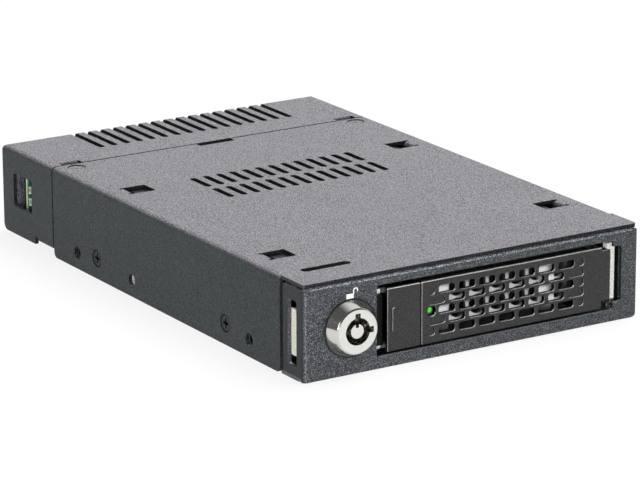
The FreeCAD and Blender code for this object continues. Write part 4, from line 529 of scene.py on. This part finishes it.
def side_screw_steel(low, high):
    """Blackened heads, with their rim and recess painted black as shade."""
    finish = Finish("side_screw")
    radius = (high.z - low.z) / 2
    up = finish.axis("Z") - (low.z + radius)
    # Painted shade: outside these circles, and in the recess, the head is painted black
    heads = [finish.within(finish.axis("Y") - middle, up, radius - SCREW_SHADE_RIM)
             for middle in (low.y + radius, high.y - radius)]
    face = any_of(heads) * (abs(finish.axis("X")) > high.x - SCREW_FACE)
    skin = finish.noise(0.3 * MM, detail=1.0)
    black = finish.tones(finish.ramp(skin, *SCREW_SKIN), BLACKENED_STEEL, 1.2, 2.4)
    return finish.shader(
        Base_Color=finish.mix(face, SHADE_BLACK, black),
        Roughness=0.35 + 0.1 * skin,
        Specular_IOR_Level=0.08,
        Normal=finish.bump(skin, depth=0.05 * MM, strength=0.4, edge=0.1 * MM))


def tray_zinc(tray_corner, door_corner):
    """The tray's plating: made diffuse on the ears by the button, so that they show lit as painted
    highlight; painted darker between the posts and further back, as painted shade.
    """
    finish = Finish("tray_zinc")
    streaks = finish.noise(0.5 * MM, detail=3.0, stretch=ROLLING)
    patches = finish.ramp(finish.noise(METAL_CLOUD), *PATCHES)
    across = finish.axis("X")
    near = finish.axis("Y") < tray_corner.y + EAR_DEPTH
    ears = near * (across < tray_corner.x + EAR_WIDTH)
    posts = any_of([abs(across - (door_corner.x + middle)) < half for middle, half in LIT_POSTS])
    # Painted shade: the webs between the posts, near the front, are painted darker
    dull = near * (across > door_corner.x) * (1 - posts)
    # Painted shade: the plating further back is painted darker than near the front
    sheet = finish.tones(patches, ZINC, 0.55, 0.68)
    plating = finish.mix(near, sheet, finish.tones(patches, ZINC, 0.9, 1.1))
    return finish.shader(
        Base_Color=finish.mix(dull, plating, shade(ZINC, 0.72)),
        # Painted highlight: the ears are made diffuse so that they show bright
        Metallic=0.92 - 0.85 * ears,
        Roughness=0.24 + 0.12 * streaks,
        Normal=finish.bump(streaks, depth=0.01 * MM, strength=0.4, edge=0.12 * MM))


def lock_chrome(axis, pit_start):
    """Polished plating, a satin face on what looks straight to the front, and a dull key ring."""
    finish = Finish("lock_chrome")
    ring = finish.within(finish.axis("X") - axis.x, finish.axis("Z") - axis.z, KEYWAY_EDGE)
    pit = ring * (finish.axis("Y") > pit_start)
    face = finish.ramp(finish.normal_axis("Y"), -0.9, -0.97) * (1 - pit)
    wear = finish.noise(0.6 * MM, detail=3.0)
    satin = finish.tones(finish.noise(0.3 * MM, detail=1.0), SATIN_FACE, 0.85, 1.15)
    worn = finish.ramp(finish.noise(1.1 * MM), 0.5, 0.68)
    key_ring = finish.tones(worn, KEYWAY_BROWN, 0.5, 6.0)
    return finish.shader(
        Base_Color=finish.mix(pit, finish.mix(face, CHROME, satin), key_ring),
        Metallic=1 - 0.2 * pit - 0.35 * face,
        Roughness=0.09 + 0.06 * wear + 0.33 * face + 0.15 * pit,
        Normal=finish.bump(wear, depth=0.006 * MM, strength=0.25, edge=0.15 * MM))


def chassis_coat(hole_depths, hole_height, hole_radii):
    """The panel's paint, with the thread of the walls' first and last tapped holes painted dark as shade,
    bare metal in the middle ones, and painted highlight on the tongue's side edges.
    """
    finish = Finish("chassis_coat")
    skin = finish.noise(0.3 * MM, detail=1.5)
    up = finish.axis("Z") - hole_height
    first, middle, last = (finish.within(finish.axis("Y") - depth, up, radius)
                           for depth, radius in zip(hole_depths, hole_radii))
    bare = middle * finish.ramp(skin, 0.35, 0.5)
    # Painted shade: the first and last holes are painted dark
    dark = first | last
    # Painted highlight: the tongue's side edges low down are painted lighter
    tongue_highlight = (abs(finish.normal_axis("X")) > 0.5) * (finish.axis("Z") < TONGUE_EDGE)
    paint = finish.tones(finish.ramp(skin, *PATCHES), PANEL_GREY, 0.75, 1.3)
    paint = finish.mix(dark, paint, finish.mix(skin, SHADE_BLACK, shade(BLACKENED_STEEL, 3.0)))
    paint = finish.mix(tongue_highlight, paint, shade(PANEL_GREY, 2.4))
    return finish.shader(
        Base_Color=finish.mix(bare, paint, ZINC),
        Metallic=0.4 * bare | dark,
        Roughness=0.55 - 0.2 * bare,
        Specular_IOR_Level=0.15,
        Normal=finish.bump(skin, depth=0.1 * MM, strength=0.5, edge=0.12 * MM))


def board_resist(front):
    """Green resist over copper tracks on the faces, and bare laminate at the edges, painted dark deeper in
    as shade.
    """
    finish = Finish("board_resist")
    face = abs(finish.normal_axis("Y")) > 0.5
    bands = finish.node("ShaderNodeTexWave", {"wave_type": "BANDS", "bands_direction": "X"},
                        {"Vector": finish.place, "Scale": TRACK_SCALE, "Distortion": 6.0, "Detail": 1.0,
                         "Detail Scale": 0.4})
    tracks = finish.ramp(bands, 0.62, 0.7)
    laminate = finish.tones(finish.noise(0.5 * MM), BOARD_CORE, 0.8, 1.2)
    # Painted shade: deeper than the given depth, the edges are painted dark green
    laminate = finish.mix(finish.axis("Y") > front + LIT_LAMINATE_DEPTH, laminate, shade(BOARD_GREEN, 0.2))
    return finish.shader(
        Base_Color=finish.mix(face, laminate, finish.tones(tracks, BOARD_GREEN, 0.75, 1.7)),
        Roughness=0.7 - 0.4 * face,
        Normal=finish.bump(tracks * face, depth=0.03 * MM, strength=0.5))


def clear_rod(glow_middle, lit_end):
    """Clear moulded rod whose front end shows the light off its middle, and is painted dark round it as
    shade.
    """
    finish = Finish("clear_rod")
    front = finish.ramp(finish.axis("Y"), lit_end, glow_middle.y)
    across = finish.axis("X") - glow_middle.x
    up = finish.axis("Z") - glow_middle.z
    away = (across * across + up * up) ** 0.5
    cloud = finish.noise(0.5 * MM)
    glow = front * finish.ramp(away, PIPE_GLOW_EDGE, PIPE_GLOW_CORE) * (0.6 + 0.8 * cloud)
    return finish.shader(
        # Painted shade: the front end is painted dark round the glow
        Base_Color=finish.mix(front, ROD_CLEAR, PIPE_SHADE),
        Roughness=0.12 + 0.1 * cloud,
        Emission_Color=finish.mix(glow, UNLIT, LIGHT_GREEN),
        Emission_Strength=1.4,
        Normal=finish.bump(cloud, depth=0.02 * MM, strength=0.3))


def lamp_lens():
    """Clouded lens of the small green light on the board."""
    finish = Finish("lamp_lens")
    cloud = finish.noise(1 * MM)
    return finish.shader(
        Base_Color=finish.mix(cloud, LENS_DEEP, LENS_PALE),
        Roughness=0.2 + 0.1 * cloud,
        Emission_Color=finish.tones(cloud, LIGHT_GREEN, 0.6, 1.0),
        Emission_Strength=0.6)


def soft_matt(name, colour, roughness, grain):
    """Matt rubber, ink, ceramic or plain paint with a fine skin."""
    finish = Finish(name)
    skin = finish.noise(grain)
    return finish.shader(
        Base_Color=finish.tones(skin, colour, 0.8, 1.2),
        Roughness=roughness,
        Normal=finish.bump(skin, depth=0.02 * MM, strength=0.4, edge=0.1 * MM))


def bay_holes():
    """Depths of the left wall's tapped holes, from its two pairs of mounts."""
    depths = set()
    for pair in ("left_bay_long_pair", "left_bay_short_pair"):
        half = mounts[pair]["dims"]["spacing_x_mm"] / 2 * MM
        middle = mounts[pair]["pos_m"][1]
        depths |= {round(middle - half, 5), round(middle + half, 5)}
    return sorted(depths)


panel_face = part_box("front_panel")[0].y
board_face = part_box("backplane_board")[0].y
door_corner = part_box("tray_door")[0]
tray_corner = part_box("tray_frame")[0]
hook_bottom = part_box("eject_hook")[0].z
cover_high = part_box("rear_cover")[1]
tab_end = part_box("top_screws")[0].y - CUT_MARGIN
side_screw_low, side_screw_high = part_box("side_screws")
pipe_low, pipe_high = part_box("light_pipe")
pipe_glow = Vector((pipe_high.x - PIPE_RADIUS - PIPE_GLOW_SIDE, pipe_low.y,
                    pipe_low.z + PIPE_RADIUS + PIPE_GLOW_LIFT))
key_way = Vector(mounts["key_way"]["pos_m"])
bay_hole_height = mounts["left_bay_long_pair"]["pos_m"][2]

coats = {
    "cover_coat": cover_paint(cover_high, tab_end),
    "panel_coat": panel_paint(),
    "chassis_coat": chassis_coat(bay_holes(), bay_hole_height, BAY_HOLE_EDGES),
    "black_plastic": moulding("black_plastic", MOULDING_BLACK, roughness=0.42, edge=0.22 * MM),
    # Painted shade: the button's housing gets a darker black than the same plastic elsewhere
    "shaded_black_plastic": moulding("shaded_black_plastic", SHADE_BLACK, roughness=0.5, edge=0.1 * MM, gloss=0.25),
    "ivory_plastic": ribbed_moulding("ivory_plastic", IVORY, RIB_PITCH),
    "hook_silver": stippled_plate("hook_silver", HOOK_SILVER, hook_bottom + HOOK_SHADED_FOOT),
    "front_moulding": edge_highlit_moulding("front_moulding", MOULDING_BLACK, door_corner.y, EDGE_HIGHLIGHT_DEPTH),
    "zinc_sheet": plated_sheet("zinc_sheet", ZINC, roughness=0.3, metal=0.92),
    "steel": plated_sheet("steel", BRIGHT_STEEL, roughness=0.25),
    "black_screw": screw_steel("black_screw", "Y", recess=0.3),
    "side_screw": side_screw_steel(side_screw_low, side_screw_high),
    "top_screw": screw_steel("top_screw", "Z", recess=1.0),
    "tray_zinc": tray_zinc(tray_corner, door_corner),
    "tin": plated_sheet("tin", TIN, roughness=0.35, metal=0.2),
    "lock_chrome": lock_chrome(key_way, key_way.y + KEYWAY_RIM),
    "black_rubber": soft_matt("black_rubber", RUBBER_BLACK, roughness=0.6, grain=0.3 * MM),
    "board_green": board_resist(board_face),
    "clear_plastic": clear_rod(pipe_glow, pipe_low.y + PIPE_LIT_LENGTH),
    "green_light": lamp_lens(),
    "white_print": soft_matt("white_print", PRINT_WHITE, roughness=0.6, grain=0.25 * MM),
    "gold_contact": plated_sheet("gold_contact", GOLD, roughness=0.25),
    "ceramic": soft_matt("ceramic", CERAMIC_TAN, roughness=0.45, grain=0.3 * MM),
    "flap_grey": soft_matt("flap_grey", FLAP_GREY, roughness=0.6, grain=0.5 * MM),
}

# Nodes whose finish isn't named like their material slot
OWN_COATS = {
    "bottom_chassis": "chassis_coat",
    "eject_hook": "hook_silver",
    # The housing's black is a painted shade
    "button_housing": "shaded_black_plastic",
    "tray_frame": "tray_zinc",
    "data_socket_shell": "steel",
    "side_screws": "side_screw",
    "top_screws": "top_screw",
    "tray_door": "front_moulding",
    "release_button": "front_moulding",
}


def dress(made, coat):
    """Gives an object one finish and no other."""
    made.data.materials.clear()
    made.data.materials.append(coats[coat])


for part in frame["record"]["subparts"]:
    dress(nodes[part["node"]], OWN_COATS.get(part["node"], part["material_slot"]))


# Pieces
def scene_object(name, mesh):
    """A new object from a bmesh, which is used up."""
    data = bpy.data.meshes.new(name)
    mesh.to_mesh(data)
    mesh.free()
    made = bpy.data.objects.new(name, data)
    bpy.context.scene.collection.objects.link(made)
    return made


def piece(name, mesh, slot, coat=None):
    """A detail that is fixed to the chassis."""
    bmesh.ops.recalc_face_normals(mesh, faces=mesh.faces)
    made = scene_object(name, mesh)
    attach(made, "chassis")
    dress(made, coat or slot)


def printed(mesh, outline, face, thickness):
    """A thin printed layer on a face that looks to the front, from X and Z points."""
    corners = [mesh.verts.new((x, face, z)) for x, z in outline]
    layer = mesh.faces.new(corners)
    raised = bmesh.ops.extrude_face_region(mesh, geom=[layer])["geom"]
    front = [vert for vert in raised if isinstance(vert, bmesh.types.BMVert)]
    bmesh.ops.translate(mesh, vec=(0, -thickness, 0), verts=front)


def arc(centre, radius, start, end, steps):
    """Points along an arc, with its ends in degrees."""
    turns = [math.radians(start + (end - start) * step / steps) for step in range(steps + 1)]
    return [(centre[0] + radius * math.cos(turn), centre[1] + radius * math.sin(turn)) for turn in turns]


def lock_sign(face):
    """The printed open padlock over the lock: a body and a shackle that stands open to the right."""
    mesh = bmesh.new()
    body = [(SIGN_LEFT, SIGN_LOW), (SIGN_RIGHT, SIGN_LOW), (SIGN_RIGHT, SIGN_HIGH), (SIGN_LEFT, SIGN_HIGH)]
    printed(mesh, body, face, SIGN_INK)
    middle = SIGN_RIGHT + SHACKLE_REACH - SHACKLE_BAR / 2
    left = middle - SHACKLE_REACH
    right = middle + SHACKLE_REACH
    foot = SIGN_HIGH - SHACKLE_BAR
    tip = SHACKLE_LIFT - SHACKLE_BAR
    shackle = [(left, foot)]
    shackle += arc((middle, SHACKLE_LIFT), SHACKLE_REACH, 180, 0, SHACKLE_STEPS)
    shackle += [(right, tip), (right - SHACKLE_BAR, tip)]
    shackle += arc((middle, SHACKLE_LIFT), SHACKLE_REACH - SHACKLE_BAR, 0, 180, SHACKLE_STEPS)
    shackle += [(left + SHACKLE_BAR, foot)]
    printed(mesh, shackle, face, SIGN_INK)
    piece("lock_sign", mesh, "lock_chrome", "white_print")


def block(mesh, low, high, edge):
    """A box between two corners, with its edges broken."""
    made = bmesh.ops.create_cube(mesh, size=1.0)["verts"]
    size = high - low
    for vert in made:
        share = vert.co + Vector((0.5, 0.5, 0.5))
        vert.co = low + Vector((size.x * share.x, size.y * share.y, size.z * share.z))
    edges = list({line for vert in made for line in vert.link_edges})
    bmesh.ops.bevel(mesh, geom=edges, offset=edge, segments=2, affect="EDGES", profile=0.5)


def ribbon(mesh, path, side, width, thickness):
    """A flat strip along a path, with its width to one side and the other."""
    rings = []
    for index, point in enumerate(path):
        ahead = path[min(index + 1, len(path) - 1)] - path[max(index - 1, 0)]
        lift = side.cross(ahead).normalized() * thickness / 2
        reach = side * width / 2
        corners = (lift + reach, lift - reach, -lift - reach, reach - lift)
        rings.append([mesh.verts.new(point + corner) for corner in corners])
    for first, second in zip(rings, rings[1:]):
        for corner in range(4):
            mesh.faces.new((first[corner], first[corner - 1], second[corner - 1], second[corner]))
    mesh.faces.new(rings[0])
    mesh.faces.new(list(reversed(rings[-1])))


def window_flaps(cover_top):
    """Grey sheets that hang under the top cover's windows, each on two strips."""
    mesh = bmesh.new()
    roof = cover_top - COVER_SHEET
    face = cover_top - FLAP_DEPTH
    for side, inner in ((-1, FLAP_INNER_LEFT), (1, FLAP_INNER_RIGHT)):
        left, right = sorted((side * inner, side * FLAP_OUTER))
        for middle in WINDOW_MIDDLES:
            front = middle - WINDOW_HALF - FLAP_STRIP
            rear = middle + WINDOW_HALF + 2 * FLAP_STRIP
            block(mesh, Vector((left, front, face - FLAP_SHEET)), Vector((right, rear, face)), FLAP_EDGE)
            for start in (front, rear - FLAP_STRIP):
                block(mesh, Vector((left, start, face - FLAP_SHEET / 2)),
                      Vector((right, start + FLAP_STRIP, roof)), FLAP_EDGE)
    piece("window_flaps", mesh, "black_plastic", "flap_grey")


def board_chips(face):
    """Moulded chips on the board's front, each with bent legs at its two sides."""
    cases = bmesh.new()
    legs = bmesh.new()
    middle = face - CHIP_HEIGHT / 2
    sole = face - LEG_THICKNESS / 2
    for *sizes, count in BOARD_CHIPS:
        x, z, half_width, half_height = (size * MM for size in sizes)
        low = Vector((x - half_width, face - CHIP_HEIGHT, z - half_height))
        high = Vector((x + half_width, face - CHIP_LIFT, z + half_height))
        block(cases, low, high, CHIP_EDGE)
        for sign in (-1, 1):
            root = x + sign * (half_width - LEG_ROOT)
            knee, heel, toe = (root + sign * reach for reach in LEG_REACHES)
            for index in range(count):
                height = z + (index - (count - 1) / 2) * LEG_PITCH
                bends = ((root, middle), (knee, middle), (heel, sole), (toe, sole))
                path = [Vector((across, along, height)) for across, along in bends]
                ribbon(legs, path, Vector((0, 0, 1)), LEG_WIDTH, LEG_THICKNESS)
    piece("board_chips", cases, "black_plastic")
    piece("chip_legs", legs, "steel")


def board_capacitors(face):
    """Small ceramic capacitors that stand on end, with plated ends."""
    bodies = bmesh.new()
    ends = bmesh.new()
    half = Vector((CAPACITOR_WIDTH / 2, 0, CAPACITOR_LENGTH / 2))
    for x, z in BOARD_CAPACITORS:
        foot = Vector((x * MM, face, z * MM))
        low = foot - half - Vector((0, CAPACITOR_HEIGHT, 0))
        high = foot + half
        block(bodies, low + CAPACITOR_INSET, high - CAPACITOR_INSET * CAPACITOR_FAR_INSET, CAPACITOR_EDGE)
        for bottom in (low.z, high.z - CAPACITOR_END):
            block(ends, Vector((low.x, low.y, bottom)), Vector((high.x, high.y, bottom + CAPACITOR_END)),
                  CAPACITOR_END_EDGE)
    piece("capacitor_bodies", bodies, "ivory_plastic", "ceramic")
    piece("capacitor_ends", ends, "steel", "tin")


def drive_contacts():
    """Spring strips along the roof of the drive socket's slot, in two groups."""
    low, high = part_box("drive_socket")
    roof = (low.z + high.z) / 2 + DRIVE_SLOT_HALF
    mesh = bmesh.new()
    for place in DRIVE_CONTACT_PLACES:
        x = low.x + DRIVE_CONTACT_INSET + place * CONTACT_PITCH
        path = [Vector((x, low.y + depth * MM, roof - drop * MM)) for depth, drop in DRIVE_CONTACT_PATH]
        ribbon(mesh, path, Vector((1, 0, 0)), DRIVE_CONTACT_WIDTH, DRIVE_CONTACT_THICKNESS)
    piece("drive_contacts", mesh, "steel", "gold_contact")


def data_contacts():
    """Two rows of square pins out of the data socket's core."""
    low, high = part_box("data_socket_core")
    middle = (low + high) / 2
    half = Vector((DATA_PIN_SIZE, 0, DATA_PIN_SIZE)) / 2
    root = Vector((0, DATA_PIN_ROOT, 0))
    reach = Vector((0, DATA_PIN_LENGTH, 0))
    mesh = bmesh.new()
    for row in (-1, 1):
        z = middle.z + row * DATA_PIN_PITCH / 2
        for index in range(DATA_PIN_COUNT):
            x = middle.x + (index - (DATA_PIN_COUNT - 1) / 2) * DATA_PIN_PITCH
            place = Vector((x, high.y, z))
            block(mesh, place - half - root, place + half + reach, DATA_PIN_EDGE)
    piece("data_contacts", mesh, "steel", "gold_contact")


def power_contacts():
    """Flat strips on the power socket's blade, which end short of its tip."""
    low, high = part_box("power_socket")
    middle = (low + high) / 2
    top = middle.z + POWER_BLADE_HALF
    bends = ((low.y + POWER_CONTACT_START, top + POWER_CONTACT_LIFT),
             (high.y - POWER_CONTACT_END, top + POWER_CONTACT_LIFT),
             (high.y - POWER_CONTACT_TIP, top - POWER_CONTACT_DIP))
    mesh = bmesh.new()
    for index in range(POWER_CONTACT_COUNT):
        x = middle.x + (index - (POWER_CONTACT_COUNT - 1) / 2) * CONTACT_PITCH
        path = [Vector((x, along, up)) for along, up in bends]
        ribbon(mesh, path, Vector((1, 0, 0)), POWER_CONTACT_WIDTH, POWER_CONTACT_THICKNESS)
    piece("power_contacts", mesh, "steel", "gold_contact")


lock_sign(panel_face)
window_flaps(cad_box[1][2])
board_chips(board_face)
board_capacitors(board_face)
drive_contacts()
data_contacts()
power_contacts()


# Stage, lights and camera
def floor():
    """White paper that shows as the background and still takes the shadow."""
    mesh = bmesh.new()
    half = FLOOR_SIZE / 2
    corners = [mesh.verts.new((x * half, y * half, 0)) for x, y in ((-1, -1), (1, -1), (1, 1), (-1, 1))]
    mesh.faces.new(corners)
    made = scene_object("floor", mesh)
    paper = bpy.data.materials.new("floor_paper")
    paper.use_nodes = True
    shading = Shading(paper.node_tree)
    lit, shown = (shading.node("ShaderNodeBsdfDiffuse", sockets={"Color": (white, white, white, 1.0)})
                  for white in (FLOOR_WHITE, 1.0 - FLOOR_GLOW))
    glow = shading.node("ShaderNodeEmission", sockets={"Color": WHITE, "Strength": FLOOR_GLOW})
    both = shading.node("ShaderNodeAddShader", sockets={0: shown, 1: glow})
    seen = shading.rays("Is Camera Ray", "Is Glossy Ray", "Is Transmission Ray")
    surface = shading.node("ShaderNodeMixShader", sockets={0: seen, 1: lit, 2: both})
    shading.node("ShaderNodeOutputMaterial", sockets={"Surface": surface})
    made.data.materials.append(paper)


def surroundings():
    """A white background, which metal mirrors as a dim room with a bright sweep behind the rack."""
    world = bpy.data.worlds.new("studio")
    world.use_nodes = True
    bpy.context.scene.world = world
    shading = Shading(world.node_tree)
    direction = shading.node("ShaderNodeTexCoord", output="Generated")
    toward = shading.node("ShaderNodeVectorMath", {"operation": "DOT_PRODUCT"}, {0: direction, 1: SWEEP},
                          output="Value")
    sweep = shading.node("ShaderNodeMapRange", {"interpolation_type": "SMOOTHSTEP"},
                         {"Value": toward, "From Min": SWEEP_START, "From Max": SWEEP_FULL,
                          "To Min": ROOM_DIM})
    seen = shading.rays("Is Camera Ray", "Is Transmission Ray")
    strength = seen | shading.rays("Is Glossy Ray") * sweep | AMBIENT
    surface = shading.node("ShaderNodeBackground", sockets={"Color": WHITE, "Strength": strength})
    shading.node("ShaderNodeOutputWorld", sockets={"Surface": surface})


def soft_box(name, place, size, power, mirrored):
    """A rectangular lamp that looks at the rack's middle."""
    data = bpy.data.lights.new(name, "AREA")
    data.shape = "RECTANGLE"
    data.size, data.size_y = size
    data.energy = power
    lamp = bpy.data.objects.new(name, data)
    lamp.location = place
    lamp.visible_camera = False
    lamp.visible_glossy = mirrored
    lamp.rotation_mode = "QUATERNION"
    lamp.rotation_quaternion = Vector(place).to_track_quat("Z", "Y")
    bpy.context.scene.collection.objects.link(lamp)


def camera():
    """The photograph's view, from the front, the left and above."""
    data = bpy.data.cameras.new("camera")
    data.lens = CAMERA_LENS
    data.sensor_width = CAMERA_SENSOR
    data.sensor_fit = "HORIZONTAL"
    data.clip_end = CAMERA_REACH
    level = math.cos(CAMERA_ELEVATION)
    back = Vector((math.sin(CAMERA_AZIMUTH) * level, -math.cos(CAMERA_AZIMUTH) * level,
                   math.sin(CAMERA_ELEVATION)))
    made = bpy.data.objects.new("camera", data)
    made.rotation_mode = "QUATERNION"
    made.rotation_quaternion = back.to_track_quat("Z", "Y") @ Quaternion((0, 0, 1), CAMERA_ROLL)
    made.location = CAMERA_AIM + back * CAMERA_DISTANCE
    bpy.context.scene.collection.objects.link(made)
    bpy.context.scene.camera = made


floor()
surroundings()
for lamp_settings in SOFT_BOXES:
    soft_box(*lamp_settings)
camera()
bpy.context.scene.view_settings.view_transform = "Standard"
